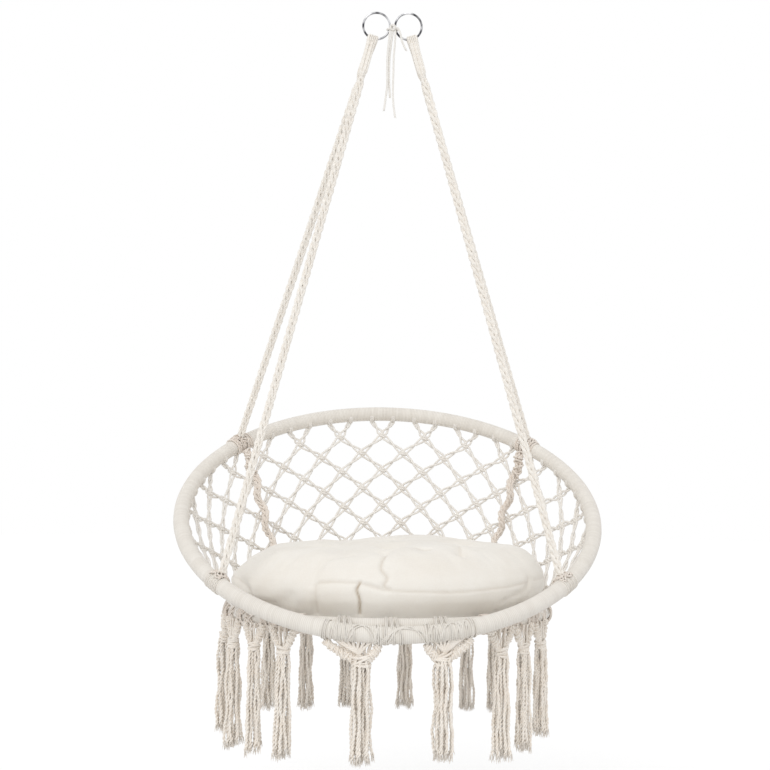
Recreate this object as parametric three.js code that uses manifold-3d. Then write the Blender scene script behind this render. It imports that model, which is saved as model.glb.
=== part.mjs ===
// Macrame hammock chair. Two cord-wrapped steel hoops, a knotted net for the back and the
// seat, four braided ropes on a pair of steel rings, a tufted cushion and a fringe of tassels.
// Millimetres, +Z up. The sitter faces -Y. The origin is where the rings bear on their hook.

import * as THREE from 'three';
import { mergeVertices } from 'three/addons/utils/BufferGeometryUtils.js';
import Module from 'manifold-3d';

// Driving sizes: the hoops
const backHoopOuter = 800;
const seatHoopOuter = 600;
const hoopThick = 29;
const tubeOuter = 19;
const tubeWall = 2;
const wrapPlay = 0.3;
const wrapSeam = 1.6;
const tubeJoint = 0.8;
const spigotLength = 40;
const hoopGap = 1;
const backTilt = 30;
const gapLean = 20;

// Driving sizes: the hanging
const hangHeight = 1116;
const hangBack = 0.3;
const ringOuter = 54;
const ringWire = 4;
const ringSpread = 60;
const ropeTop = 17;
const ropeFoot = 15;
const bightThick = 12;
const bightPlay = 0.4;
const bightLeg = 10;
const ropeFrontTurn = 38.2;
const ropeRearTurn = 40.5;
const bightTurn = 16.5;

// Driving sizes: knots, nets and braids
const knotOuter = 43;
const knotWidth = 22;
const knotPlay = 0.6;
const netCord = 7;
const netKnot = 11;
const netSpacing = 37;
const netCutGap = 0.7;
const netFirstRow = 46;
const netFootRoom = 32;
const netBandDepth = 135;
const netColumns = 17;
const braidThick = 15;
const strapThick = 17;
const endPlay = 0.35;

// Driving sizes: the seat
const seatNetDrop = 8;
const seatNetSag = 14;
const seatNetColumns = 12;
const cushionSideInset = 4;
const cushionFrontInset = 16;
const cushionRearInset = 40;
const cushionCrown = 128;
const cushionPlay = 1;
const cushionHoopPlay = 7;
const tuftDip = 17;
const tuftReach = 34;

// Driving sizes: the front lashing and the tassels
const lashCord = 5;
const lashSpacing = 8;
const lashTurns = 3;
const lashPlay = 0.5;
const tasselRing = 604;
const tasselFoot = 219;
const tasselThick = 39;
const frontTasselThick = 44;
const tasselKnot = 20;
const legCord = 8;
const frontLegCord = 13;
const legReach = 30;
const legLow = 25;
const legSpread = 16;
const leftTasselReach = 58;
const leftTasselShort = 28;
const rightTasselReach = 46;
const rightTasselShort = 26;

// Driving sizes: the cord that ties the rings together
const tieCord = 4;
const tieKnot = 13;
const tieDrop = 6;
const tiePlay = 0.4;

const radians = THREE.MathUtils.degToRad;
const up = new THREE.Vector3(0, 0, 1);

const colours = {
  cotton: new THREE.MeshStandardMaterial({ color: 0xe9e3d6, roughness: 0.9, metalness: 0 }),
  rope: new THREE.MeshStandardMaterial({ color: 0xebe4d4, roughness: 0.95, metalness: 0 }),
  fringe: new THREE.MeshStandardMaterial({ color: 0xd8cdbd, roughness: 0.95, metalness: 0 }),
  cushion: new THREE.MeshStandardMaterial({ color: 0xf3efe2, roughness: 0.85, metalness: 0 }),
  steel: new THREE.MeshStandardMaterial({ color: 0xa8a8aa, roughness: 0.25, metalness: 1 }),
};

const wasm = await Module();
wasm.setup();

function toManifold(geometry) {
  const bare = geometry.clone();
  bare.deleteAttribute('normal');
  bare.deleteAttribute('uv');
  const merged = mergeVertices(bare, wrapPlay / 1000);
  const triVerts = new Uint32Array(merged.index.array);
  const vertProperties = new Float32Array(merged.attributes.position.array);
  return new wasm.Manifold(new wasm.Mesh({ numProp: 3, vertProperties, triVerts }));
}

function fromManifold(body) {
  const mesh = body.getMesh();
  const geometry = new THREE.BufferGeometry();
  geometry.setAttribute('position', new THREE.BufferAttribute(new Float32Array(mesh.vertProperties), 3));
  geometry.setIndex(new THREE.BufferAttribute(new Uint32Array(mesh.triVerts), 1));
  geometry.computeVertexNormals();
  return geometry;
}

function geometryOf(points, faces) {
  const geometry = new THREE.BufferGeometry().setFromPoints(points);
  geometry.setIndex(faces);
  geometry.computeVertexNormals();
  return geometry;
}

// A mesh is turned inside out when its signed volume is negative.
function facingOut(geometry) {
  const place = geometry.attributes.position;
  const index = geometry.index;
  const corner = [new THREE.Vector3(), new THREE.Vector3(), new THREE.Vector3()];
  let volume = 0;
  for (let i = 0; i < index.count; i += 3) {
    corner.forEach((point, k) => point.fromBufferAttribute(place, index.getX(i + k)));
    volume += corner[0].dot(corner[1].clone().cross(corner[2]));
  }
  if (volume < 0) {
    for (let i = 0; i < index.count; i += 3) {
      const second = index.getX(i + 1);
      index.setX(i + 1, index.getX(i + 2));
      index.setX(i + 2, second);
    }
    geometry.computeVertexNormals();
  }
  return geometry;
}

function addPiece(group, name, geometry, material) {
  const mesh = new THREE.Mesh(geometry.index ? facingOut(geometry) : geometry, material);
  mesh.name = name;
  group.add(mesh);
  return mesh;
}

// A hoop is a ring of straight facets, so that what is tied to it can follow the same facets.
function makeHoop(radius, sides, place) {
  return { radius, sides, place };
}

function onHoop(hoop, turn) {
  const step = 360 / hoop.sides;
  const first = Math.floor(turn / step) * step;
  const share = (turn - first) / step;
  const corner = (angle) => new THREE.Vector3(
    hoop.radius * Math.cos(radians(angle)), hoop.radius * Math.sin(radians(angle)), 0);
  const a = corner(first);
  const b = corner(first + step);
  const at = a.clone().lerp(b, share);
  const along = b.clone().sub(a).normalize();
  const out = along.clone().cross(up);
  return {
    at: at.applyMatrix4(hoop.place),
    along: along.transformDirection(hoop.place),
    out: out.transformDirection(hoop.place),
    up: up.clone().transformDirection(hoop.place),
  };
}

// The profile is drawn in the hoop's plane: x is the distance from the hoop's own axis.
function hoopRing(profile, hoop) {
  const ring = new THREE.LatheGeometry([...profile, profile[0].clone()], hoop.sides);
  ring.rotateX(Math.PI / 2);
  ring.applyMatrix4(hoop.place);
  return ring;
}

function roundProfile(hoop, radius, corners) {
  const profile = [];
  for (let k = 0; k < corners; k += 1) {
    const angle = 2 * Math.PI * k / corners;
    profile.push(new THREE.Vector2(hoop.radius - radius * Math.cos(angle), radius * Math.sin(angle)));
  }
  return profile;
}

// A rod between two points, tapered, with closed ends.
function rodBetween(from, to, startRadius, endRadius, sides) {
  const axis = to.clone().sub(from);
  const rod = new THREE.CylinderGeometry(endRadius, startRadius, axis.length(), sides);
  rod.applyQuaternion(new THREE.Quaternion().setFromUnitVectors(
    new THREE.Vector3(0, 1, 0), axis.clone().normalize()));
  const middle = from.clone().add(to).multiplyScalar(0.5);
  rod.translate(middle.x, middle.y, middle.z);
  return rod;
}

function roundShape(radius, sides) {
  const points = [];
  for (let k = 0; k < sides; k += 1) {
    const angle = 2 * Math.PI * k / sides;
    points.push(new THREE.Vector2(radius * Math.cos(angle), radius * Math.sin(angle)));
  }
  return new THREE.Shape(points);
}

function cordAlong(curve, thick, steps, sides) {
  return mergeVertices(new THREE.ExtrudeGeometry(roundShape(thick / 2, sides), {
    steps, bevelEnabled: false, extrudePath: curve,
  }));
}

// A closed tube through given points, used where every turn needs its own exact corners.
function tubeThrough(points, radius, sides) {
  const corners = [];
  const faces = [];
  let side = null;
  points.forEach((point, i) => {
    const before = points[Math.max(i - 1, 0)];
    const after = points[Math.min(i + 1, points.length - 1)];
    const ahead = after.clone().sub(before).normalize();
    const start = side || new THREE.Vector3(1, 0, 0);
    side = start.clone().addScaledVector(ahead, -start.dot(ahead)).normalize();
    const other = ahead.clone().cross(side);
    for (let k = 0; k < sides; k += 1) {
      const angle = 2 * Math.PI * k / sides;
      corners.push(point.clone()
        .addScaledVector(side, radius * Math.cos(angle))
        .addScaledVector(other, radius * Math.sin(angle)));
    }
  });
  for (let i = 0; i < points.length - 1; i += 1) {
    for (let k = 0; k < sides; k += 1) {
      const a = i * sides + k;
      const b = i * sides + (k + 1) % sides;
      faces.push(a, b, b + sides, a, b + sides, a + sides);
    }
  }
  const last = (points.length - 1) * sides;
  for (let k = 1; k < sides - 1; k += 1) {
    faces.push(0, k + 1, k, last, last + k, last + k + 1);
  }
  return geometryOf(corners, faces);
}

// How far from the middle of a round bar a flat-ended rod starts so that its end clears the bar.
function clearOf(barRadius, way, along, radius) {
  const angle = way.angleTo(along);
  return (barRadius + endPlay + radius * Math.abs(Math.cos(angle))) / Math.sin(angle);
}

// Placing. The chair group is the seat hoop's frame: its origin is the seat hoop's centre.
const part = new THREE.Group();
const chair = new THREE.Group();
chair.position.set(0, -hangBack, -hangHeight);
part.add(chair);

const seatRadius = (seatHoopOuter - hoopThick) / 2;
const backRadius = (backHoopOuter - hoopThick) / 2;
const hoopSpace = hoopThick + hoopGap;
const wrapSides = 10;
const hoopFlat = hoopThick / 2 * Math.cos(Math.PI / wrapSides);
const backFront = new THREE.Vector3(
  0,
  -seatRadius - hoopSpace * Math.cos(radians(gapLean)),
  -hoopSpace * Math.sin(radians(gapLean)));
const backPlace = new THREE.Matrix4().makeTranslation(backFront)
  .multiply(new THREE.Matrix4().makeRotationX(radians(backTilt)))
  .multiply(new THREE.Matrix4().makeTranslation(0, backRadius, 0));
const backHoop = makeHoop(backRadius, 40, backPlace);
const seatHoop = makeHoop(seatRadius, 36, new THREE.Matrix4());

// The hoops: a rolled tube whose ends meet on a spigot, inside a wrapping of cotton cord
// that closes along a seam on the hoop's inner side.
function addHoop(name, hoop) {
  const tubeRadius = tubeOuter / 2;
  const boreRadius = tubeRadius - tubeWall;
  const jointTurn = 90 + 180 / hoop.sides;
  const joint = onHoop(hoop, jointTurn);
  const slit = new THREE.BoxGeometry(tubeOuter * 2, tubeJoint, tubeOuter * 2);
  slit.applyMatrix4(new THREE.Matrix4().makeBasis(joint.out, joint.along, joint.up));
  slit.translate(joint.at.x, joint.at.y, joint.at.z);
  const tube = toManifold(facingOut(mergeVertices(hoopRing(roundProfile(hoop, tubeRadius, 8), hoop))))
    .subtract(toManifold(facingOut(mergeVertices(hoopRing(roundProfile(hoop, boreRadius, 6), hoop)))))
    .subtract(toManifold(slit));
  addPiece(chair, `${name}_tube`, fromManifold(tube), colours.steel);

  const half = joint.along.clone().multiplyScalar(spigotLength / 2);
  const spigotRadius = boreRadius * Math.cos(Math.PI / 6) - wrapPlay;
  addPiece(chair, `${name}_spigot`, rodBetween(
    joint.at.clone().sub(half), joint.at.clone().add(half), spigotRadius, spigotRadius, 10), colours.steel);

  const inner = tubeRadius + wrapPlay;
  const outer = hoopThick / 2;
  const seamIn = wrapSeam / 2 / inner;
  const seamOut = wrapSeam / 2 / outer;
  const profile = [];
  const corner = (radius, angle) => profile.push(new THREE.Vector2(
    hoop.radius - radius * Math.cos(angle), radius * Math.sin(angle)));
  corner(outer, seamOut);
  for (let k = 1; k < wrapSides; k += 1) {
    corner(outer, 2 * Math.PI * k / wrapSides);
  }
  corner(outer, 2 * Math.PI - seamOut);
  corner(inner, 2 * Math.PI - seamIn);
  for (let k = 7; k > 0; k -= 1) {
    corner(inner, 2 * Math.PI * k / 8);
  }
  corner(inner, seamIn);
  addPiece(chair, `${name}_wrap`, mergeVertices(hoopRing(profile, hoop)), colours.cotton);
}

addHoop('back_hoop', backHoop);
addHoop('seat_hoop', seatHoop);

// The hanging: two steel rings, and on each a bight that joins a front and a rear rope.
const ringRadius = (ringOuter - ringWire) / 2;
const ringDrop = ringOuter / 2 - ringWire;
const pull = (side) => new THREE.Vector3(
  side * Math.sin(radians(bightTurn)), 0, -Math.cos(radians(bightTurn)));

function addRing(name, side) {
  const ring = new THREE.TorusGeometry(ringRadius, ringWire / 2, 8, 28);
  ring.rotateX(Math.PI / 2);
  ring.translate(side * ringSpread / 2, 0, -ringDrop);
  addPiece(part, name, mergeVertices(ring), colours.steel);
}

const ropeRadius = ropeTop / 2;
const knotInner = hoopThick / 2 + knotPlay;
const knotSides = 14;
const knotFlat = knotOuter / 2 * Math.cos(Math.PI / knotSides);
const bightRadius = bightThick / 2;
const archRadius = ringWire / 2 + bightPlay + bightRadius;

// The bight is a half turn of strands over the ring's wire with two short straight legs.
function addBight(name, side) {
  const wire = new THREE.Vector3(side * ringSpread / 2, hangBack, hangHeight - ringDrop)
    .addScaledVector(pull(side), ringRadius);
  const down = pull(side);
  const fore = new THREE.Vector3(0, -1, 0);
  const legFoot = (way) => wire.clone()
    .addScaledVector(fore, way * archRadius)
    .addScaledVector(down, bightLeg);
  const points = [legFoot(1)];
  for (let k = 0; k <= 8; k += 1) {
    const angle = Math.PI * k / 8;
    points.push(wire.clone()
      .addScaledVector(fore, archRadius * Math.cos(angle))
      .addScaledVector(down, -archRadius * Math.sin(angle)));
  }
  points.push(legFoot(-1));
  addPiece(chair, name, tubeThrough(points, bightRadius, 8), colours.rope);
  return { front: legFoot(1), rear: legFoot(-1) };
}

// A lark's head knot round the hoop: a rounded collar that follows the hoop's facet.
function addKnot(name, spot) {
  const inner = knotInner;
  const outer = knotOuter / 2;
  const half = knotWidth / 2;
  const round = (outer - inner) / 2;
  const profile = [
    new THREE.Vector2(inner, -half),
    new THREE.Vector2(inner + round, -half),
    new THREE.Vector2(outer, -half + round),
    new THREE.Vector2(outer, half - round),
    new THREE.Vector2(inner + round, half),
    new THREE.Vector2(inner, half),
    new THREE.Vector2(inner, -half),
  ];
  const collar = new THREE.LatheGeometry(profile, knotSides);
  collar.applyMatrix4(new THREE.Matrix4().makeBasis(spot.out, spot.along, spot.up.clone().negate()));
  collar.translate(spot.at.x, spot.at.y, spot.at.z);
  addPiece(chair, name, mergeVertices(collar), colours.rope);
}

function addRope(name, top, spot) {
  const reach = top.clone().sub(spot.at);
  const radial = reach.addScaledVector(spot.along, -reach.dot(spot.along)).normalize();
  const seat = spot.at.clone().addScaledVector(radial, knotFlat);
  const axis = seat.clone().sub(top).normalize();
  const tilt = Math.acos(Math.min(1, Math.abs(axis.dot(pull(Math.sign(top.x))))));
  const from = top.clone().addScaledVector(axis, endPlay + bightRadius * Math.tan(tilt));
  const to = seat.addScaledVector(axis, -clearOf(wrapPlay, axis, spot.along, ropeFoot / 2));
  addPiece(chair, name, rodBetween(from, to, ropeRadius, ropeFoot / 2, 10), colours.rope);
}

const sides = [['left', -1], ['right', 1]];
const hoopTurn = (side, turn) => (side > 0 ? turn : 180 - turn);
for (const [word, side] of sides) {
  addRing(`ring_${word}`, side);
  const feet = addBight(`rope_bight_${word}`, side);
  const front = onHoop(backHoop, hoopTurn(side, -ropeFrontTurn));
  const rear = onHoop(backHoop, hoopTurn(side, ropeRearTurn));
  addKnot(`rope_knot_front_${word}`, front);
  addKnot(`rope_knot_rear_${word}`, rear);
  addRope(`rope_front_${word}`, feet.front, front);
  addRope(`rope_rear_${word}`, feet.rear, rear);
}

// The tie: a loop round both rings' wires where they face each other, its knot in front,
// and four loose ends that hang from the knot.
function addTie() {
  const wireOut = ringSpread / 2 - Math.sqrt(ringRadius ** 2 - tieDrop ** 2);
  const tieHigh = -ringDrop - tieDrop;
  const halfLong = wireOut + ringWire / 2 + tiePlay + tieCord / 2;
  const halfDeep = ringWire / 2 + tiePlay + tieCord / 2;
  const loop = new THREE.CurvePath();
  const reach = halfLong - halfDeep;
  const straight = (x1, y1, x2, y2) => loop.add(new THREE.LineCurve3(
    new THREE.Vector3(x1, y1, tieHigh), new THREE.Vector3(x2, y2, tieHigh)));
  const points = [];
  for (let k = 0; k < 16; k += 1) {
    const angle = 2 * Math.PI * (k + 0.5) / 16;
    const shift = Math.cos(angle) > 0 ? reach : -reach;
    points.push([shift + halfDeep * Math.cos(angle), halfDeep * Math.sin(angle)]);
  }
  points.forEach((point, k) => straight(...point, ...points[(k + 1) % points.length]));
  const corners = [];
  const faces = [];
  const rim = 6;
  points.forEach(([x, y]) => {
    const out = new THREE.Vector3(x - Math.sign(x) * reach, y, 0).normalize();
    for (let k = 0; k < rim; k += 1) {
      const angle = 2 * Math.PI * k / rim;
      corners.push(new THREE.Vector3(x, y, tieHigh)
        .addScaledVector(out, tieCord / 2 * Math.cos(angle))
        .addScaledVector(up, tieCord / 2 * Math.sin(angle)));
    }
  });
  points.forEach((point, i) => {
    const next = (i + 1) % points.length;
    for (let k = 0; k < rim; k += 1) {
      const a = i * rim + k;
      const b = i * rim + (k + 1) % rim;
      const c = next * rim + (k + 1) % rim;
      const d = next * rim + k;
      faces.push(a, b, c, a, c, d);
    }
  });
  addPiece(part, 'tie_loop', geometryOf(corners, faces), colours.rope);

  const knotAt = new THREE.Vector3(0, -halfDeep - tieCord / 2 - tiePlay - tieKnot / 2, tieHigh);
  const knot = new THREE.SphereGeometry(tieKnot / 2, 10, 7);
  knot.translate(knotAt.x, knotAt.y, knotAt.z);
  addPiece(part, 'tie_knot', mergeVertices(knot), colours.rope);
}

addTie();

// Loose ends of the tie cord, chosen by hand from the photograph.
const tieEnds = {
  tie_end_left: [[-5.1, -14.3, -35.1], [-7.2, -13.6, -57.1], [-9.6, -12.9, -85.6], [-9.9, -12.4, -114.1], [-9.7, -12, -138.8], [-12.2, -11.6, -161.6], [-15, -11.2, -182.5]],
  tie_end_middle: [[0, -12.2, -36], [-2.7, -10.9, -58.1], [-5.5, -9.2, -84.5], [-6.2, -8.9, -113.1], [-5.8, -8.9, -136], [-4.2, -9, -157]],
  tie_end_right: [[5.1, -14.1, -35.1], [4.2, -12.9, -58.6], [2.3, -12, -85.1], [2, -11.4, -111.7], [1.3, -11.2, -146], [2.5, -11, -172.6], [5.5, -10.8, -195.4]],
  tie_end_short: [[8.4, -15.4, -29.6], [13.5, -15.4, -39], [17.5, -13.6, -54.7], [24.4, -11.6, -69.3]],
};
for (const [name, route] of Object.entries(tieEnds)) {
  const curve = new THREE.CatmullRomCurve3(route.map((point) => new THREE.Vector3(...point)));
  addPiece(part, name, cordAlong(curve, tieCord, 14, 8), colours.rope);
}

// A net is a lattice of flat square knots. Each knot has four open sides, and a strand joins
// the open side of one knot to that of the next, so that the whole net is one closed skin.
// Corners run top, left, bottom, right. Side k lies between corner k and corner k + 1.
const upLeft = 0;
const downLeft = 1;
const downRight = 2;
const upRight = 3;

function makeKnot(at, across, rise, size, thick) {
  const face = across.clone().cross(rise).normalize();
  const arms = [rise, across.clone().negate(), rise.clone().negate(), across];
  const layer = (way) => arms.map((arm) => at.clone()
    .addScaledVector(arm, size / 2)
    .addScaledVector(face, way * thick / 2));
  return { at, face, front: layer(1), back: layer(-1), used: [false, false, false, false] };
}

function openSide(knot, side) {
  const next = (side + 1) % 4;
  return [knot.front[side], knot.back[side], knot.back[next], knot.front[next]];
}

class Lattice {
  constructor() {
    this.points = [];
    this.faces = [];
    this.index = new Map();
  }

  add(point) {
    if (!this.index.has(point)) {
      this.index.set(point, this.points.length);
      this.points.push(point);
    }
    return this.index.get(point);
  }

  quad(loop) {
    const [a, b, c, d] = loop.map((point) => this.add(point));
    this.faces.push(a, b, c, a, c, d);
  }

  addKnot(knot) {
    this.quad(knot.front);
    this.quad([...knot.back].reverse());
    knot.used.forEach((used, side) => {
      if (!used) this.quad(openSide(knot, side));
    });
  }

  // Loops of four points, each matched to the one before it.
  skin(loops) {
    for (let i = 0; i < loops.length - 1; i += 1) {
      for (let k = 0; k < 4; k += 1) {
        const next = (k + 1) % 4;
        this.quad([loops[i][k], loops[i][next], loops[i + 1][next], loops[i + 1][k]]);
      }
    }
  }

  geometry() {
    return geometryOf(this.points, this.faces);
  }
}

function between(loop, other, share) {
  return loop.map((point, k) => point.clone().lerp(other[k], share));
}

// The back net hangs from the back hoop and ends on the seat hoop. turnShare runs from the
// right front edge of the net round the back to its left front edge.
const netTopTurns = [-27, 207];
const netFootTurns = [-28, 208];
const halfColumns = netColumns * 2;
const mix = (range, share) => range[0] + (range[1] - range[0]) * share;

function rulingAt(turnShare) {
  const top = onHoop(backHoop, mix(netTopTurns, turnShare));
  const foot = onHoop(seatHoop, mix(netFootTurns, turnShare));
  const fall = foot.at.clone().sub(top.at);
  const length = fall.length();
  const down = fall.normalize();
  const skin = hoopThick / 2 + endPlay;
  const start = skin / Math.sin(down.angleTo(top.along));
  const stop = length - skin / Math.sin(down.angleTo(foot.along));
  return { top, foot, length, down, start, stop };
}

function onNet(turnShare, depth) {
  const ruling = rulingAt(turnShare);
  return ruling.top.at.clone().addScaledVector(ruling.down, depth);
}

function netKnotAt(column, row) {
  const share = column / halfColumns;
  const depth = netFirstRow + netSpacing * (row - 1);
  const step = 0.25 / halfColumns;
  const low = Math.max(share - step, 0);
  const high = Math.min(share + step, 1);
  const rise = rulingAt(share).down.negate();
  const across = onNet(high, depth).sub(onNet(low, depth)).normalize();
  across.addScaledVector(rise, -across.dot(rise)).normalize();
  const knot = makeKnot(onNet(share, depth), across, rise, netKnot, netCord);
  knot.low = rulingAt(share).length - depth < netBandDepth;
  return knot;
}

// A strand that ends on a hoop stops at the hoop's skin, flat to it.
function hoopEnd(share, downward, face) {
  const ruling = rulingAt(share);
  const along = (downward ? ruling.foot : ruling.top).along;
  const at = onNet(share, downward ? ruling.stop : ruling.start);
  const right = along.clone().multiplyScalar((downward ? -1 : 1) * netCord / 2);
  const thick = face.clone().addScaledVector(along, -face.dot(along)).normalize().multiplyScalar(netCord / 2);
  return [
    at.clone().add(right).add(thick), at.clone().add(right).sub(thick),
    at.clone().sub(right).sub(thick), at.clone().sub(right).add(thick),
  ];
}

// Knots of one kind that have no strand to their kind's main run go over to the other kind.
function settleStragglers(knots, key, low) {
  const runs = [];
  const seen = new Set();
  for (const [start, knot] of knots) {
    if (knot.low !== low || seen.has(start)) continue;
    const run = [start];
    seen.add(start);
    for (const place of run) {
      const [column, row] = place.split('/').map(Number);
      for (const [dc, dr] of [[-1, -1], [1, -1], [-1, 1], [1, 1]]) {
        const next = key(column + dc, row + dr);
        if (knots.get(next)?.low === low && !seen.has(next)) {
          seen.add(next);
          run.push(next);
        }
      }
    }
    runs.push(run);
  }
  runs.sort((a, b) => b.length - a.length);
  runs.slice(1).flat().forEach((place) => {
    knots.get(place).low = !low;
  });
}

function makeBackNet() {
  const knots = new Map();
  const key = (column, row) => `${column}/${row}`;
  for (let column = 0; column <= halfColumns; column += 1) {
    const room = rulingAt(column / halfColumns).length - netFootRoom;
    for (let row = column % 2 ? 1 : 2; netFirstRow + netSpacing * (row - 1) < room; row += 2) {
      knots.set(key(column, row), netKnotAt(column, row));
    }
  }
  settleStragglers(knots, key, false);
  settleStragglers(knots, key, true);
  const upper = new Lattice();
  const lower = new Lattice();
  const latticeOf = (knot) => (knot.low ? lower : upper);
  const cutShare = netCutGap / netSpacing / 2;

  for (let column = 0; column <= halfColumns; column += 1) {
    for (let row = column % 2 ? 1 : 2; knots.has(key(column, row)); row += 2) {
      const knot = knots.get(key(column, row));
      const lattice = latticeOf(knot);
      for (const [side, way] of [[downLeft, -1], [downRight, 1]]) {
        if (column + way < 0 || column + way > halfColumns) continue;
        const other = knots.get(key(column + way, row + 1));
        const start = openSide(knot, side);
        knot.used[side] = true;
        if (other) {
          const back = way > 0 ? upLeft : upRight;
          const end = openSide(other, back).reverse();
          other.used[back] = true;
          if (latticeOf(other) === lattice) {
            lattice.skin([start, end]);
          } else {
            const cut = between(start, end, 0.5 - cutShare);
            lattice.skin([start, cut]);
            lattice.quad(cut);
            const rest = openSide(other, back);
            const stop = between(start, end, 0.5 + cutShare).reverse();
            latticeOf(other).skin([rest, stop]);
            latticeOf(other).quad(stop);
          }
        } else {
          const share = (column + 0.55 * way) / halfColumns;
          const end = hoopEnd(share, true, knot.face);
          lattice.skin([start, end]);
          lattice.quad(end);
        }
      }
      if (row === 1) {
        for (const [side, way] of [[upLeft, -1], [upRight, 1]]) {
          const start = openSide(knot, side);
          const end = hoopEnd((column + 0.5 * way) / halfColumns, false, knot.face);
          knot.used[side] = true;
          lattice.skin([start, end]);
          lattice.quad(end);
        }
      }
    }
  }
  for (const knot of knots.values()) latticeOf(knot).addKnot(knot);
  return { upper: upper.geometry(), lower: lower.geometry() };
}

const backNet = makeBackNet();
addPiece(chair, 'back_net_upper', backNet.upper, colours.cotton);
addPiece(chair, 'back_net_lower', backNet.lower, colours.cotton);

// The seat net is a shallow bowl of the same knots, gathered into a ring at its middle.
const seatRowShares = [0.86, 0.70, 0.54, 0.38, 0.22];
const seatNetHeight = (radius) => -seatNetDrop - seatNetSag * (1 - (radius / seatRadius) ** 2);

function makeSeatNet() {
  const rows = seatRowShares.map((share, row) => {
    const ring = [];
    for (let column = 0; column < seatNetColumns; column += 1) {
      const angle = 2 * Math.PI * (column + (row % 2) / 2) / seatNetColumns;
      const radius = seatRadius * share;
      const out = new THREE.Vector3(Math.cos(angle), Math.sin(angle), 0);
      const across = new THREE.Vector3(-Math.sin(angle), Math.cos(angle), 0);
      const at = out.clone().multiplyScalar(radius).setZ(seatNetHeight(radius));
      ring.push(makeKnot(at, across, out, netKnot, netCord));
    }
    return ring;
  });
  const lattice = new Lattice();
  const link = (knot, side, other, otherSide) => {
    knot.used[side] = true;
    other.used[otherSide] = true;
    lattice.skin([openSide(knot, side), openSide(other, otherSide).reverse()]);
  };
  const wrap = (column) => (column + seatNetColumns) % seatNetColumns;
  rows.forEach((ring, row) => {
    ring.forEach((knot, column) => {
      const inner = rows[row + 1];
      if (inner) {
        const right = wrap(column + (row % 2 ? 1 : 0));
        const left = wrap(column - (row % 2 ? 0 : 1));
        link(knot, downRight, inner[right], upLeft);
        link(knot, downLeft, inner[left], upRight);
      } else {
        link(knot, downRight, ring[wrap(column + 1)], downLeft);
      }
    });
  });
  rows[0].forEach((knot, column) => {
    for (const [side, way] of [[upLeft, -1], [upRight, 1]]) {
      const turn = 360 * (column + 0.25 * way) / seatNetColumns;
      const spot = onHoop(seatHoop, turn);
      const lean = Math.asin(seatNetDrop / (hoopThick / 2 + endPlay));
      const at = spot.at.clone()
        .addScaledVector(spot.out, -(hoopThick / 2 + endPlay) * Math.cos(lean))
        .setZ(-seatNetDrop);
      const right = spot.along.clone().multiplyScalar(netCord / 2);
      const skin = spot.out.clone().multiplyScalar(Math.sin(lean)).addScaledVector(up, -Math.cos(lean));
      const thick = skin.multiplyScalar(netCord / 2);
      const end = [
        at.clone().add(right).add(thick), at.clone().add(right).sub(thick),
        at.clone().sub(right).sub(thick), at.clone().sub(right).add(thick),
      ];
      knot.used[side] = true;
      lattice.skin([openSide(knot, side), end]);
      lattice.quad(end);
    }
  });
  rows.flat().forEach((knot) => lattice.addKnot(knot));
  return lattice.geometry();
}

addPiece(chair, 'seat_net', makeSeatNet(), colours.cotton);

// Braids and straps that join the rope knots to the seat hoop, inside and in front of the net.
const braidFootTurn = 42;
const strapFootTurn = -38;
const braidLean = 0.62;
const braidRise = 95;
const braidInset = 8.5;
const braidOutset = 12;

function addBraid(word, side) {
  const top = onHoop(backHoop, hoopTurn(side, ropeRearTurn));
  const foot = onHoop(seatHoop, hoopTurn(side, braidFootTurn));
  const inward = new THREE.Vector3(-Math.sign(side), -1, 0).normalize();
  const fall = foot.at.clone().sub(top.at).normalize();
  const startWay = fall.clone().addScaledVector(inward, braidLean).normalize();
  const start = top.at.clone()
    .addScaledVector(startWay, clearOf(knotFlat, startWay, top.along, braidThick / 2));
  const leaving = start.clone().addScaledVector(startWay, braidThick);
  const bend = foot.at.clone()
    .addScaledVector(up, braidRise)
    .addScaledVector(foot.out, braidOutset);
  const footLean = (braidInset + braidOutset) / braidRise;
  const end = foot.at.clone()
    .addScaledVector(up, hoopFlat + wrapPlay + endPlay + footLean * braidThick / 2)
    .addScaledVector(foot.out, -braidInset);
  const middle = leaving.clone().lerp(bend, 0.5);
  const arriving = end.clone().lerp(bend, 0.2);
  const curve = new THREE.CatmullRomCurve3([start, leaving, middle, bend, arriving, end]);
  addPiece(chair, `inner_braid_${word}`, cordAlong(curve, braidThick, 9, 8), colours.rope);
}

function addStrap(word, side) {
  const top = onHoop(backHoop, hoopTurn(side, -ropeFrontTurn));
  const foot = onHoop(seatHoop, hoopTurn(side, strapFootTurn));
  const fall = foot.at.clone().sub(top.at).normalize();
  const radius = strapThick / 2;
  const start = top.at.clone().addScaledVector(fall, clearOf(hoopThick / 2, fall, top.along, radius));
  const end = foot.at.clone().addScaledVector(fall, -clearOf(hoopThick / 2, fall, foot.along, radius));
  addPiece(chair, `side_strap_${word}`,
    rodBetween(start, end, strapThick / 2, strapThick / 2, 8), colours.rope);
}

for (const [word, side] of sides) {
  addBraid(word, side);
  addStrap(word, side);
}

// The lashing binds the two hoops together at the front, in three windings of a few turns.
const lashShares = { left: -0.215, middle: -0.012, right: 0.202 };

function hoopAcross(hoop, x) {
  const turn = -90 + THREE.MathUtils.radToDeg(Math.asin(x / hoop.radius));
  const spot = onHoop(hoop, turn);
  return { at: new THREE.Vector3(x, spot.at.y, spot.at.z), slant: Math.abs(spot.along.x) };
}

function leastGap(points, thick, perTurn) {
  let least = Infinity;
  points.forEach((point, i) => {
    for (let k = i + Math.floor(perTurn / 2); k < points.length; k += 1) {
      least = Math.min(least, point.distanceTo(points[k]) - thick);
    }
  });
  return least;
}

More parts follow.
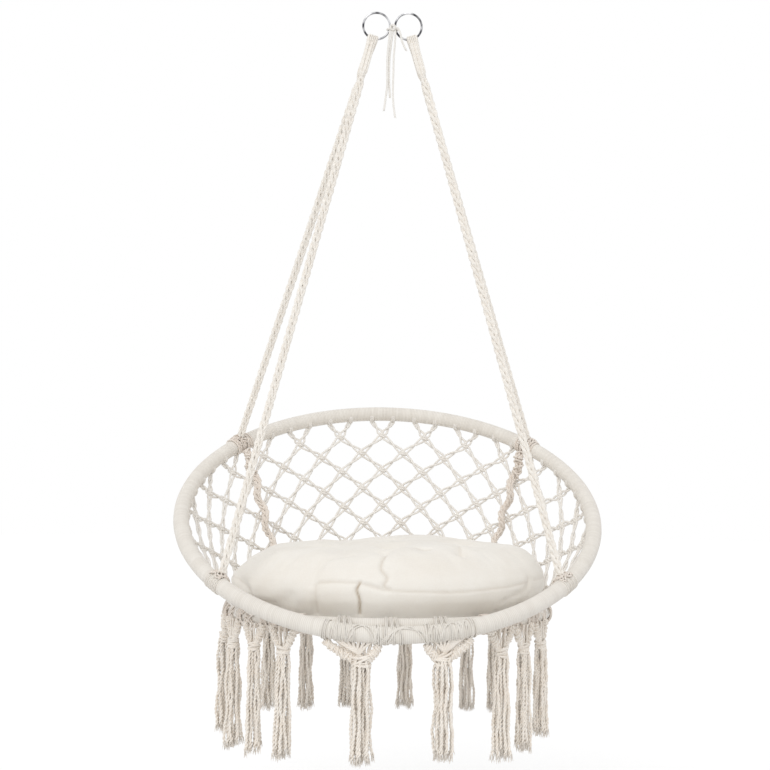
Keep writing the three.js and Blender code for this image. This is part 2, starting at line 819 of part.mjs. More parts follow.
function addLashing(word, share) {
  const perTurn = 12;
  const points = [];
  const corner = Math.PI / 5;
  for (let i = 0; i <= lashTurns * perTurn; i += 1) {
    const x = backRadius * share + lashSpacing * (i / perTurn - lashTurns / 2);
    const back = hoopAcross(backHoop, x);
    const seat = hoopAcross(seatHoop, x);
    const toSeat = seat.at.clone().sub(back.at).setX(0).normalize();
    const over = new THREE.Vector3(1, 0, 0).cross(toSeat).negate();
    const k = i % perTurn;
    const hoop = k < 6 ? seat : back;
    const angle = (k < 6 ? 1 : -1) * (Math.PI / 2 - (k % 6) * corner);
    const reach = (hoopThick / 2 / hoop.slant + lashPlay + lashCord / 2) / Math.cos(corner / 2);
    const way = toSeat.clone().multiplyScalar((k < 6 ? 1 : -1) * Math.cos(angle))
      .addScaledVector(over, Math.sin(angle));
    points.push(hoop.at.clone().addScaledVector(way, reach));
  }
  console.log(`front_lashing_${word}: least gap to itself ${leastGap(points, lashCord, perTurn).toFixed(2)} mm`);
  addPiece(chair, `front_lashing_${word}`, tubeThrough(points, lashCord / 2, 6), colours.rope);
}

for (const [word, share] of Object.entries(lashShares)) addLashing(word, share);

// The cushion: a crowned round pad. Its foot sits inside the seat hoop, and its sides bulge
// out over the hoop. Shares of width run from the middle, shares of height from the foot.
const sideShares = [
  [0.985, 0.385], [1, 0.50], [0.985, 0.63], [0.94, 0.76], [0.87, 0.86], [0.77, 0.925],
  [0.66, 0.955], [0.55, 0.975], [0.44, 0.985], [0.33, 0.99], [0.22, 1], [0.11, 1],
];
const footShares = [0.25, 0.55, 0.8, 0.94];
const tuftShare = 0.5;
const tuftCount = 6;

function makeCushion() {
  const segments = 36;
  const hole = seatRadius - hoopThick / 2 - cushionHoopPlay;
  const halfWide = seatHoopOuter / 2 - cushionSideInset;
  const front = seatHoopOuter / 2 - cushionFrontInset;
  const rear = seatHoopOuter / 2 - cushionRearInset;
  const halfDeep = (front + rear) / 2;
  const shift = (rear - front) / 2;
  const floor = seatNetHeight(0) + netCord / 2 + cushionPlay;
  const thick = cushionCrown - floor;
  const spot = (share, turn) => new THREE.Vector3(
    share * halfWide * Math.cos(turn), share * halfDeep * Math.sin(turn) + shift, 0);
  const onFoot = (share, turn, height) => new THREE.Vector3(
    share * hole * Math.cos(turn), share * hole * Math.sin(turn), height);
  const tufts = [spot(0, 0)];
  for (let k = 0; k < tuftCount; k += 1) {
    tufts.push(spot(tuftShare, 2 * Math.PI * (k + 0.5) / tuftCount));
  }
  const dip = (point) => tufts.reduce((sum, tuft) => sum
    + tuftDip * Math.exp(-((point.distanceTo(tuft) / tuftReach) ** 2)), 0);
  const points = [];
  const faces = [];
  const ringOf = (place) => {
    const ring = [];
    for (let k = 0; k < segments; k += 1) {
      ring.push(points.length);
      points.push(place(2 * Math.PI * k / segments));
    }
    return ring;
  };
  const onNetHeight = (share) => seatNetHeight(share * hole) + netCord / 2 + cushionPlay;
  const rings = footShares.map((share) => ringOf((turn) => onFoot(share, turn, onNetHeight(share))));
  const hoopTop = hoopThick / 2;
  rings.push(ringOf((turn) => onFoot(0.985, turn, hoopTop * 0.3)));
  rings.push(ringOf((turn) => onFoot(1, turn, hoopTop + cushionPlay)));
  for (const [share, height] of sideShares) {
    rings.push(ringOf((turn) => {
      const at = spot(share, turn);
      const sink = height > 0.9 ? dip(at) : 0;
      return at.setZ(floor + thick * height - sink);
    }));
  }
  for (let i = 0; i < rings.length - 1; i += 1) {
    for (let k = 0; k < segments; k += 1) {
      const next = (k + 1) % segments;
      faces.push(rings[i][k], rings[i][next], rings[i + 1][next]);
      faces.push(rings[i][k], rings[i + 1][next], rings[i + 1][k]);
    }
  }
  const bottom = points.push(onFoot(0, 0, onNetHeight(0))) - 1;
  const top = points.push(spot(0, 0).setZ(cushionCrown - dip(spot(0, 0)))) - 1;
  for (let k = 0; k < segments; k += 1) {
    const next = (k + 1) % segments;
    faces.push(bottom, rings[0][next], rings[0][k]);
    faces.push(top, rings.at(-1)[k], rings.at(-1)[next]);
  }
  return geometryOf(points, faces);
}

addPiece(chair, 'cushion', makeCushion(), colours.cushion);

// The tassels. Turns are counted from the front, to the right, round the seat hoop.
// lengthShares stretch or shorten the drop from the hoop to the tassel's foot. The two
// tassels with legs of their own hang from the back hoop's front, beside the lashings.
const tassels = [
  { turn: -82.5, lengthShare: 1 },
  { turn: -67, lengthShare: 1.06 },
  { turn: -52, lengthShare: 1.04 },
  { turn: -38, lengthShare: 1.04 },
  { turn: -10.5, lengthShare: 1.01, legs: [-leftTasselReach, leftTasselShort] },
  { turn: 15.5, lengthShare: 0.97, legs: [-rightTasselShort, rightTasselReach] },
  { turn: 38, lengthShare: 1.04 },
  { turn: 49.5, lengthShare: 1.01 },
  { turn: 62, lengthShare: 0.93 },
  { turn: 132, lengthShare: 1.02 },
  { turn: 145, lengthShare: 1.04 },
  { turn: 170.5, lengthShare: 1.07 },
  { turn: 193.5, lengthShare: 1.05 },
  { turn: 211, lengthShare: 1.05 },
  { turn: 229.5, lengthShare: 1 },
];

// How wide a tassel is at its head, its knot, below it and half way down, as shares of its foot.
const widthShares = [0.36, 0.68, 0.66, 0.82];
const frontWidthShares = [0.5, 0.84, 0.84, 0.92];

// A leg starts on the hoop's skin: under the back hoop, or low on the seat hoop's outer side.
// Under the back hoop its flat end leans with the leg, and its upper corner is what bears.
function legStart(near, reach, onFront) {
  if (onFront) {
    const rise = frontLegCord / 2 * Math.abs(reach) / Math.hypot(reach, legReach);
    const { at } = hoopAcross(backHoop, near.x);
    return at.addScaledVector(up, -hoopFlat - 2 * wrapPlay - rise);
  }
  const skin = hoopFlat + 2 * wrapPlay + legCord / 2;
  const turn = THREE.MathUtils.radToDeg(Math.atan2(near.y, near.x));
  const { at, out } = onHoop(seatHoop, turn);
  const low = radians(legLow);
  return at.addScaledVector(out, skin * Math.cos(low)).addScaledVector(up, -skin * Math.sin(low));
}

// A tassel hangs straight down from the line between its two legs' tops, its swing axis.
function addTassel(number, { turn, lengthShare, legs }) {
  const reaches = legs || [-legSpread, legSpread];
  const angle = radians(turn);
  const middle = new THREE.Vector3(Math.sin(angle), -Math.cos(angle), 0).multiplyScalar(tasselRing / 2);
  const tangent = legs ? new THREE.Vector3(1, 0, 0) : new THREE.Vector3(Math.cos(angle), Math.sin(angle), 0);
  const tops = reaches.map((reach) => (
    legStart(middle.clone().addScaledVector(tangent, reach), reach, Boolean(legs))));
  const pivot = tops[0].clone().lerp(tops[1], -reaches[0] / (reaches[1] - reaches[0]));
  const across = tops[1].clone().sub(tops[0]).setZ(0).normalize();
  const outward = across.clone().cross(up);
  const place = (x, z) => pivot.clone().addScaledVector(across, x).addScaledVector(up, z);
  const foot = -tasselFoot * lengthShare - pivot.z;
  const neck = -legReach - tasselKnot;
  const thick = legs ? frontTasselThick : tasselThick;
  const leg = legs ? frontLegCord : legCord;
  const [headShare, knotShare, neckShare, bundleShare] = legs ? frontWidthShares : widthShares;
  const levels = [
    [-legReach + leg / 2, headShare, 1], [-legReach - tasselKnot * 0.35, knotShare, 1],
    [neck, neckShare, 0.92], [neck - tasselKnot, bundleShare, 0.84], [foot, 1, 0.78],
  ];
  const lobes = 6;
  const points = [];
  const faces = [];
  const count = lobes * 2;
  levels.forEach(([z, share, flute]) => {
    for (let k = 0; k < count; k += 1) {
      const way = 2 * Math.PI * k / count;
      const radius = thick / 2 * share * (k % 2 ? flute : 1);
      points.push(place(radius * Math.cos(way), z).addScaledVector(outward, radius * Math.sin(way)));
    }
  });
  for (let i = 0; i < levels.length - 1; i += 1) {
    for (let k = 0; k < count; k += 1) {
      const next = (k + 1) % count;
      faces.push(i * count + k, i * count + next, (i + 1) * count + next);
      faces.push(i * count + k, (i + 1) * count + next, (i + 1) * count + k);
    }
  }
  const head = points.push(place(0, levels[0][0])) - 1;
  const end = points.push(place(0, foot)) - 1;
  const last = (levels.length - 1) * count;
  for (let k = 0; k < count; k += 1) {
    const next = (k + 1) % count;
    faces.push(head, next, k, end, last + k, last + next);
  }
  let body = toManifold(facingOut(geometryOf(points, faces)));
  for (const top of tops) {
    const band = rodBetween(top, place(0, -legReach - leg / 2), leg / 2, leg / 2, 6);
    body = body.add(toManifold(facingOut(mergeVertices(band))));
  }
  const name = `tassel_${String(number).padStart(2, '0')}`;
  addPiece(chair, name, fromManifold(body), colours.fringe);
}

tassels.forEach((tassel, i) => addTassel(i + 1, tassel));

export default part;
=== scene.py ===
from math import asin, atan2, copysign, cos, degrees, exp, hypot, pi, radians, sin, sqrt, tau
from random import seed, uniform

import bmesh
import bpy
import numpy as np
from mathutils import Matrix, Vector, noise
from mathutils.bvhtree import BVHTree


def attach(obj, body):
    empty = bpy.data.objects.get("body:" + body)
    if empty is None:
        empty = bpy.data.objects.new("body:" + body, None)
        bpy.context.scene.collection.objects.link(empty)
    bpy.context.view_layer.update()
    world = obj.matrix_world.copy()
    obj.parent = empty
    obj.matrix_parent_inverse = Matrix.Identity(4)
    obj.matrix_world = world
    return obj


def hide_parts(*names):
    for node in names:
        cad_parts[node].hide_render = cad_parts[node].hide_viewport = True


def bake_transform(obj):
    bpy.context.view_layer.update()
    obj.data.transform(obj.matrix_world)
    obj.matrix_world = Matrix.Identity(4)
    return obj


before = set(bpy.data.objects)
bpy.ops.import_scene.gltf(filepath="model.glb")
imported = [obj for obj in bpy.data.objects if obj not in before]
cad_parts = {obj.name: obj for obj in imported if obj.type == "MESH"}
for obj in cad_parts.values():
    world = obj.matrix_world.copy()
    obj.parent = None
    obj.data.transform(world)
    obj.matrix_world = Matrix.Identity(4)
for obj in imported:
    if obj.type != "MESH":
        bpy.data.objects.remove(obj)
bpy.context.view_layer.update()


# The camera stands 2.63 m in front of the chair and looks up by 0.9 degrees, with its frame moved
# up a little. It was fitted to both hoops' outlines. Sizes are mm from the seat hoop's middle.
hang_high = 1116
hang_back = 0.3


def chair(x, y, z):
    return Vector((x, y - hang_back, z - hang_high)) / 1000


def added(name, data):
    """A new object in the scene."""
    made = bpy.data.objects.new(name, data)
    scene.collection.objects.link(made)
    return made


def heading(angle):
    """The level way at an angle from the X axis."""
    return Vector((cos(angle), sin(angle), 0))


def toward(first, second, angle):
    """The way that lies at an angle from a first way, on the side of a second one."""
    return first * cos(angle) + second * sin(angle)


def circle(count):
    """The angles of count points on a circle."""
    return [tau * k / count for k in range(count)]


def held(value):
    """A number, kept from 0 to 1."""
    return min(max(value, 0), 1)


scene = bpy.context.scene
up = Vector((0, 0, 1))
forward = Vector((0, -1, 0))
both_sides = (("left", -1), ("right", 1))
camera_away = 2630
camera_side = 7.2
camera_high = 277.7
camera_turn = radians(-2.12)
camera_climb = radians(0.94)
camera_roll = radians(0.52)
frame_px = 770
focal_px = 1406
shift_px = 52
to_right = heading(camera_turn)
to_chair = up.cross(to_right)
looking = toward(to_chair, up, camera_climb)
upward = to_right.cross(looking)
right = toward(to_right, upward, camera_roll)
upward = toward(upward, -to_right, camera_roll)
stand = -to_chair * camera_away - to_right * camera_side
lens = bpy.data.cameras.new("camera")
lens.sensor_width = 36
lens.lens = lens.sensor_width * focal_px / frame_px
lens.shift_y = shift_px / frame_px
camera = added("camera", lens)
turned = Matrix((right, upward, -looking)).transposed()
camera.matrix_world = Matrix.Translation(chair(stand.x, stand.y, camera_high)) @ turned.to_4x4()
scene.camera = camera


# Looks are made of shader nodes, and cords are meshes drawn along lines. fixed() gives a piece
# its look and the body it rides on.
class Dye:
    """A socket of a material in the making: sums on it add Math nodes, node() adds any other."""

    def __init__(self, tree, socket=None):
        self.tree = tree
        self.socket = socket

    def node(self, kind, settings=None, sockets=None, out=0):
        made = self.tree.nodes.new(kind)
        for key, value in (settings or {}).items():
            setattr(made, key, value)
        for key, value in (sockets or {}).items():
            if isinstance(value, Dye):
                self.tree.links.new(value.socket, made.inputs[key])
            else:
                made.inputs[key].default_value = value
        return Dye(self.tree, made.outputs[out] if made.outputs else None)

    def out(self, name):
        return Dye(self.tree, self.socket.node.outputs[name])

    def sum(self, how, *values):
        return self.node("ShaderNodeMath", {"operation": how}, dict(enumerate(values)))

    def __add__(self, other):
        return self.sum("ADD", self, other)

    def __mul__(self, other):
        return self.sum("MULTIPLY", self, other)

    def __sub__(self, other):
        return self.sum("SUBTRACT", self, other)

    def blend(self, low, high):
        """The colour low where this is 0, and high where it is 1."""
        return self.node("ShaderNodeMix", {"data_type": "RGBA"}, {0: self, 6: low, 7: high}, 2)

    def held(self):
        """This, kept from 0 to 1."""
        return self.sum("MINIMUM", self.sum("MAXIMUM", self, 0.0), 1.0)

    def place(self):
        return self.node("ShaderNodeTexCoord", out="Object")

    def noise(self, scale, detail):
        return self.node("ShaderNodeTexNoise", sockets={"Vector": self, "Scale": scale, "Detail": detail})

    def bump(self, strength, deep):
        """The normals of a surface that rises with this, by deep metres."""
        return self.node("ShaderNodeBump", sockets={"Strength": strength, "Distance": deep, "Height": self})


def shade(red, green, blue):
    """A colour as it shows on a screen, from 0 to 255 and not near black, as light."""
    return (*(((c / 255 + 0.055) / 1.055) ** 2.4 for c in (red, green, blue)), 1)


def finish(name, make):
    """A material made by make(dye), which gives its shader, or the sockets of a Principled one."""
    material = bpy.data.materials.new(name)
    material.use_nodes = True
    material.node_tree.nodes.clear()
    dye = Dye(material.node_tree)
    shader = make(dye)
    if isinstance(shader, dict):
        shader = dye.node("ShaderNodeBsdfPrincipled", sockets=shader)
    dye.node("ShaderNodeOutputMaterial", sockets={"Surface": shader})
    return material


def soft(colour, rough, relief, sheen=0.25, spread=0.6):
    """The shader's sockets for cotton, which has a faint sheen and hardly any gloss."""
    return {"Base Color": colour, "Roughness": rough, "Normal": relief, "Specular IOR Level": 0.25,
            "Sheen Weight": sheen, "Sheen Roughness": spread}


def cotton(name, light, dark, lay=0.0034, plies=3, deep=0.0005, fuzz=700, twist=0.3):
    """Twisted cotton: its plies cross a cord at a slant, lay metres apart along it. twist is how much painted
    shade darkens the grooves between the plies.
    """
    def make(dye):
        place = dye.place()
        run = dye.node("ShaderNodeSeparateXYZ", sockets={0: place.out("UV")})
        phase = run.out("X") * (1 / lay) + run.out("Y") * plies
        ridge = dye.sum("SINE", phase * tau) * 0.5 + 0.5
        lint = place.noise(fuzz, 3.0)
        stain = place.noise(35.0, 2.0)
        # Painted shade: ridge makes the colour darker in the grooves between the plies. lint and stain vary
        # the tone at random.
        tone = (ridge * twist + lint * 0.4 + stain * 0.6 - twist / 2).held()
        relief = (ridge * 0.7 + lint * 0.6).bump(0.8, deep)
        return soft(tone.blend(dark, light), lint * 0.1 + 0.83, relief)
    return finish(name, make)


def length_of(line):
    return sum((b - a).length for a, b in zip(line, line[1:]))


def smooth(route, count):
    """Points spaced along a curve that goes through those of a route."""
    ends = [route[0] * 2 - route[1], *route, route[-1] * 2 - route[-2]]
    fine = []
    for a, b, c, d in zip(ends, ends[1:], ends[2:], ends[3:]):
        for k in range(12):
            t = k / 12
            fine.append(0.5 * (2 * b + (c - a) * t + (2 * a - 5 * b + 4 * c - d) * t ** 2
                               + (3 * b - a - 3 * c + d) * t ** 3))
    fine.append(route[-1])
    far = [0.0]
    for a, b in zip(fine, fine[1:]):
        far.append(far[-1] + (b - a).length)
    return [Vector([np.interp(far[-1] * k / (count - 1), far, [p[axis] for p in fine])
                    for axis in range(3)]) for k in range(count)]


def spun(name, lines, thick, closed=False, waist=None):
    """Cords as one mesh, thick metres thick. Its UV map runs along each cord in metres and
    once round it. waist gives each point of each line its share of the thickness."""
    drawn = bpy.data.curves.new(name, "CURVE")
    drawn.dimensions = "3D"
    drawn.bevel_depth = thick / 2
    drawn.bevel_resolution = 1
    drawn.use_fill_caps = True
    closes = [closed] * len(lines) if isinstance(closed, bool) else closed
    for i, line in enumerate(lines):
        spline = drawn.splines.new("POLY")
        spline.points.add(len(line) - 1)
        spline.points.foreach_set("co", [value for point in line for value in (*point, 1)])
        spline.use_cyclic_u = closes[i]
        if waist:
            spline.points.foreach_set("radius", waist[i])
    draft = added(name, drawn)
    seen = draft.evaluated_get(bpy.context.evaluated_depsgraph_get())
    shape = bpy.data.meshes.new_from_object(seen)
    bpy.data.objects.remove(draft)
    bpy.data.curves.remove(drawn)
    lengths = [length_of([*line, line[0]] if whole else line) for line, whole in zip(lines, closes)]
    corners = [len(line) * 24 for line in lines]
    map_of = shape.uv_layers[0]
    spots = np.zeros(len(map_of.data) * 2, np.float32)
    map_of.data.foreach_get("uv", spots)
    spots[0::2] *= np.repeat(np.array(lengths, np.float32), corners)
    map_of.data.foreach_set("uv", spots)
    map_of.name = "cord"
    return added(name, shape)


def fixed(piece, material, slot, body, *nodes):
    """Gives a piece its material and the body it rides on, and hides its CAD nodes. slot is not used."""
    piece.data.materials.clear()
    piece.data.materials.append(material)
    if body:
        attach(piece, body)
    if nodes:
        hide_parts(*nodes)
    return piece


# A 4 mm cotton cord ties the two steel rings together. It goes once round both wires, is
# knotted in front, and its ends hang loose, cut and a little frayed.
def row(x, y, z):
    return Vector((x, y, z)) / 1000


seed(5)
tie_cotton = cotton("tie_cotton", shade(250, 248, 244), shade(228, 223, 216), lay=0.012, deep=0.0002,
                    plies=1, fuzz=260, twist=0.15)
tie_thick = 0.004
tie_ends = {
    "tie_end_left": [(-5.1, -14.3, -35.1), (-7.2, -13.6, -57.1), (-9.6, -12.9, -85.6),
                     (-9.9, -12.4, -114.1), (-9.7, -12, -138.8), (-12.2, -11.6, -161.6),
                     (-15, -11.2, -182.5)],
    "tie_end_middle": [(0, -12.2, -36), (-2.7, -10.9, -58.1), (-5.5, -9.2, -84.5), (-6.2, -8.9, -113.1),
                       (-5.8, -8.9, -136), (-4.2, -9, -157)],
    "tie_end_right": [(5.1, -14.1, -35.1), (4.2, -12.9, -58.6), (2.3, -12, -85.1), (2, -11.4, -111.7),
                      (1.3, -11.2, -146), (2.5, -11, -172.6), (5.5, -10.8, -195.4)],
    "tie_end_short": [(8.4, -15.4, -29.6), (13.5, -15.4, -39), (17.5, -13.6, -54.7),
                      (24.4, -11.6, -69.3)],
}
for name, route in tie_ends.items():
    path = smooth([row(*point) for point in route], 24)
    cord = fixed(spun(name + "_cord", [path], tie_thick), tie_cotton, "rope", "hanger", name)
    lines = []
    for k in range(7):
        away = heading(k * 0.9) * tie_thick * 0.3
        tip = path[-1] + (path[-1] - path[-2]).normalized() * uniform(0.002, 0.004) + away * 1.6
        lines.append([path[-1] + away * 0.6, (path[-1] + tip) / 2 + away * 0.5, tip])
    fray = fixed(spun(name + "_fray", lines, tie_thick * 0.3, waist=[[1.0, 0.9, 0.5]] * 7), tie_cotton,
                 "rope", "hanger")
    length_of(path)

ring_aside = 30
ring_drop = 23
ring_radius = 25
ring_wire = 0.004
tie_drop = 6
tie_deep = 4.4
tie_long = ring_aside - sqrt(ring_radius ** 2 - tie_drop ** 2) + tie_deep
tie_turn = []
for k in range(32):
    angle = tau * (k + 0.5) / 32
    shift = copysign(tie_long - tie_deep, cos(angle))
    tie_turn.append(row(shift + tie_deep * cos(angle), tie_deep * sin(angle),
                        -ring_drop - tie_drop))
fixed(spun("tie_turn", [tie_turn], tie_thick, closed=True), tie_cotton, "rope", "hanger", "tie_loop")

knot_at = row(0, -13.3, -ring_drop - tie_drop)
knot_turns = []
for lean, size in ((0.5, 4.7), (-0.6, 4.5), (1.5, 4.2)):
    turn = Matrix.Rotation(lean, 3, "Y") @ Matrix.Rotation(0.5 * lean, 3, "X")
    knot_turns.append([knot_at + turn @ Vector((size * cos(a), 2.0 * sin(2 * a), size * sin(a))) / 1000
                       for a in circle(14)])
fixed(spun("tie_knot_turns", knot_turns, tie_thick, closed=True), tie_cotton, "rope", "hanger",
      "tie_knot")


# Two welded steel rings, 54 mm outside, bent from 4 mm wire and polished. They hang side by
# side on the hook, and the ropes' bights lie over their lower wire.
def meshed(work, name):
    """What was worked on, as a mesh."""
    shape = bpy.data.meshes.new(name)
    work.to_mesh(shape)
    work.free()
    return shape


def rolled(name, radius, thick, turns, sides, place):
    """A round bar rolled to a ring about the Z axis, and put in its place."""
    work = bmesh.new()
    bmesh.ops.create_circle(work, segments=sides, radius=thick / 2)
    bmesh.ops.rotate(work, cent=(0, 0, 0), matrix=Matrix.Rotation(pi / 2, 3, "X"), verts=work.verts)
    bmesh.ops.translate(work, vec=(radius, 0, 0), verts=work.verts)
    bmesh.ops.spin(work, geom=work.verts[:] + work.edges[:], cent=(0, 0, 0), axis=(0, 0, 1),
                   angle=tau, steps=turns, use_merge=True)
    bmesh.ops.recalc_face_normals(work, faces=work.faces)
    bmesh.ops.transform(work, matrix=place, verts=work.verts)
    for face in work.faces:
        face.smooth = True
    return added(name, meshed(work, name))


def polished(dye):
    place = dye.place()
    cloud = place.noise(55.0, 1.0)
    scratch = place.noise(1800.0, 2.0)
    # Painted reflection: band turns the noise into dark and light patches in the steel's colour, standing in
    # for what the polished wire mirrors.
    band = ((cloud - 0.5) * 3.4 + 0.45).held()
    return {
        "Base Color": band.blend(shade(72, 72, 76), shade(226, 226, 228)), "Metallic": 1.0,
        "Roughness": cloud * 0.1 + 0.12, "Normal": scratch.bump(0.05, 0.0001),
    }


ring_steel = finish("ring_steel", polished)
for word, side in both_sides:
    place = Matrix.Translation(row(side * ring_aside, 0, -ring_drop)) @ Matrix.Rotation(pi / 2, 4, "X")
    fixed(rolled("steel_ring_" + word, ring_radius / 1000, ring_wire, 72, 12, place), ring_steel, "steel",
          "hanger", "ring_" + word)


# The hoops: steel tube rolled to a ring, its butt joint on a spigot, and wound all round with
# cotton cord, 3.2 mm to the turn. The large one leans back 30 degrees, the small one is level.
seat_radius = 285.5
back_radius = 385.5
hoop_half = 14.5
lean = radians(30)
back_front = Vector((0, -313.69, -10.26))


def on_hoop(which, turn):
    """A place on a hoop's centre line, its way along the hoop, and its way out from the hoop."""
    out = heading(radians(turn))
    along = up.cross(out)
    if which == "seat":
        return out * seat_radius, along, out
    tip = Matrix.Rotation(lean, 3, "X")
    return back_front + tip @ (out * back_radius + Vector((0, back_radius, 0))), tip @ along, tip @ out


def wound(centre, tilt, radius, light, dark):
    """Cord wound round a hoop: a ridge for each turn, each turn with its own tone, and painted shade in the
    grooves between the turns.
    """
    turns = round(tau * radius / 3.2)

    def make(dye):
        place = dye.place()
        flat = dye.node("ShaderNodeMapping", {"vector_type": "TEXTURE"}, {
            "Vector": place, "Location": centre, "Rotation": (tilt, 0, 0)})
        axes = dye.node("ShaderNodeSeparateXYZ", sockets={0: flat})
        reach = dye.sum("SQRT", axes.out("X") * axes.out("X") + axes.out("Y") * axes.out("Y"))
        about = dye.sum("ARCTAN2", axes.out("Y"), axes.out("X"))
        over = dye.sum("ARCTAN2", axes.out("Z"), reach - radius / 1000)
        phase = (about * turns + over) * (1 / tau)
        ridge = dye.sum("POWER", dye.sum("ABSOLUTE", dye.sum("SINE", phase * pi)), 0.6)
        each = dye.node("ShaderNodeTexWhiteNoise", {"noise_dimensions": "1D"}, {
            "W": dye.sum("FLOOR", dye.sum("FLOORED_MODULO", phase, float(turns)))})
        slant = dye.sum("SINE", phase * 2.4 + over * 34.0) * 0.5 + 0.5
        lint = place.noise(700.0, 3.0)
        stain = place.noise(22.0, 3.0)
        # Painted shade: ridge and slant make the colour darker in the grooves between the turns and plies.
        # each, lint and stain vary the tone at random.
        tone = (ridge * 0.55 + each * 0.22 + lint * 0.25 + stain * 0.45 + slant * 0.1 - 0.42).held()
        height = ridge + lint * 0.2 + slant * 0.12 + each * 0.12
        return soft(tone.blend(dark, light), lint * 0.1 + 0.82, height.bump(0.7, 0.0007), 0.2)
    return make


def rusted(dye):
    place = dye.place()
    cloud = place.noise(60.0, 4.0)
    return {
        "Base Color": cloud.blend(shade(96, 94, 92), shade(140, 139, 138)), "Metallic": 1.0,
        "Roughness": cloud * 0.3 + 0.3, "Normal": cloud.bump(0.3, 0.0002),
    }


tube_steel = finish("tube_steel", rusted)
back_middle = back_front + Matrix.Rotation(lean, 3, "X") @ Vector((0, back_radius, 0))
hoops = {
    "back_hoop": (back_radius, back_middle, lean, "frame", 264),
    "seat_hoop": (seat_radius, Vector((0, 0, 0)), 0.0, "seat", 216),
}
winding_cotton = {}
for name, (radius, middle, tilt, body, turns) in hoops.items():
    for word in ("_tube", "_spigot"):
        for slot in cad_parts[name + word].material_slots:
            slot.material = tube_steel
    place = Matrix.Translation(chair(*middle)) @ Matrix.Rotation(tilt, 4, "X")
    winding = rolled(name + "_winding", radius / 1000, hoop_half / 500, turns, 20, place)
    cord = finish(name + "_cotton", wound(chair(*middle), tilt, radius, shade(243, 239, 232),
                                          shade(216, 209, 199)))
    winding_cotton[name] = cord
    fixed(winding, cord, "cotton_cord", body, name + "_wrap")


# Four ropes hang the chair. Each is a braid of four strands of three cords. A front and a rear
# rope go over one ring in a bight, and their strands lie side by side before the braid starts.
def carried(line, front):
    """Each point of a line with two ways square to it, which don't twist on their way."""
    side = front
    steps = []
    for i, point in enumerate(line):
        ahead = (line[min(i + 1, len(line) - 1)] - line[max(i - 1, 0)]).normalized()
        side = (side - ahead * side.dot(ahead)).normalized()
        steps.append((point, side, ahead.cross(side)))
    return steps


def braided(line, front, wide, pitch, taper=1.0, straight=0.0):
    """Twelve cords in a braid of four strands along a line. Its flat side faces front."""
    lines = [[] for _ in range(12)]
    gone = 0.0
    whole = length_of(line)
    last = line[0]
    for point, face, across in carried(line, front):
        gone += (point - last).length
        last = point
        size = wide / 2 * (1 + (taper - 1) * gone / whole)
        mix = held((gone - straight) / 0.03) if straight else 1
        mix = mix * mix * (3 - 2 * mix)
        for strand in range(4):
            turn = tau * gone / pitch + strand * pi / 2
            x = 0.57 * cos(turn)
            y = 0.25 * sin(2 * turn) + 0.25 * sin(turn)
            x = x * mix + (strand - 1.5) * 0.40 * (1 - mix)
            y = y * mix + (0.12 if strand % 2 else -0.12) * (1 - mix)
            for ply in range(3):
                spin = tau * (ply / 3 - gone / (pitch * 0.62) * mix)
                px = x + 0.18 * cos(spin)
                py = y + 0.18 * sin(spin)
                lines[strand * 3 + ply].append(point + across * px * size + face * py * size)
    return lines


rope_cotton = cotton("rope_cotton", shade(252, 249, 243), shade(229, 221, 211), lay=0.011, deep=0.0003,
                     plies=1, fuzz=260, twist=0.25)
rope_top = 17
rope_foot = 15
rope_pitch = 0.072
rope_straight = 0.055
rope_cord = 0.0041
bight_cord = 0.0034
bight_turn = radians(16.5)
arch_radius = 8.4
knot_flat = 21.5 * cos(pi / 14)
ropes = {"front": -38.2, "rear": 40.5}


def along_line(start, end, step=5.0):
    count = max(2, round((end - start).length / step)) + 1
    return [start.lerp(end, k / (count - 1)) for k in range(count)]


def placed(line):
    return [chair(*point) for point in line]


def on_side(side, which, turn):
    """What on_hoop gives for a turn on the right, or for the same place on the left."""
    return on_hoop(which, turn if side > 0 else 180 - turn)


for word, side in both_sides:
    pull = Vector((side * sin(bight_turn), 0, -cos(bight_turn)))
    sideways = Vector((cos(bight_turn), 0, side * sin(bight_turn)))
    wire = Vector((side * ring_aside, hang_back, hang_high - ring_drop)) + pull * ring_radius
    strands = []
    for layer, reach in enumerate((3.9, 6.0)):
        for k in range(6 - layer):
            off = sideways * (k - 2.5 + layer / 2)
            arch = [wire + off * 3.5 + toward(forward, -pull, pi * step / 12) * reach for step in range(13)]
            for way, end in ((-1, 0), (1, -1)):
                foot = wire + pull * 22 + off * 2.7 - forward * way * (arch_radius + (layer - 0.5) * 3.2)
                run = [arch[end].lerp(foot, t / 4) for t in range(1, 5)]
                arch = [*reversed(run), *arch] if end == 0 else [*arch, *run]
            strands.append(placed(arch))
    fixed(spun("bight_" + word, strands, bight_cord), rope_cotton, "rope", "frame", "rope_bight_" + word)
    for part, turn in ropes.items():
        way = -1 if part == "front" else 1
        top = wire - forward * way * arch_radius + pull * 10
        at, along, _ = on_side(side, "back", turn)
        reach = top - at
        radial = (reach - along * reach.dot(along)).normalized()
        seat = at + radial * (knot_flat - 1.5)
        line = placed(along_line(top, seat))
        front = forward if part == "front" else forward + up * 0.2
        cords = braided(line, front, rope_top / 1000, rope_pitch, rope_foot / rope_top, rope_straight)
        fixed(spun(f"braid_{part}_{word}", cords, rope_cord), rope_cotton, "rope", "frame",
              f"rope_{part}_{word}")


# Where a rope meets the large hoop its cords are hitched round the wrapping in a lark's head
# knot: ten tight turns side by side, and seven cords laid over them as a bar.
def turn_round(at, along, lead, radius, start=0.0, end=360.0, steps=24, shift=0.0, lean=0.0, phase=0.0):
    """Points on a turn about a hoop. Angles go from the way lead, about the way along. A turn with
    a lean goes to and fro along the hoop by so much."""
    lead = (lead - along * lead.dot(along)).normalized()
    other = along.cross(lead)
    points = []
    for k in range(steps):
        angle = radians(start + (end - start) * k / (steps if end - start >= 360 else steps - 1))
        points.append(at + along * (shift + lean * sin(angle + phase)) + toward(lead, other, angle) * radius)
    return points


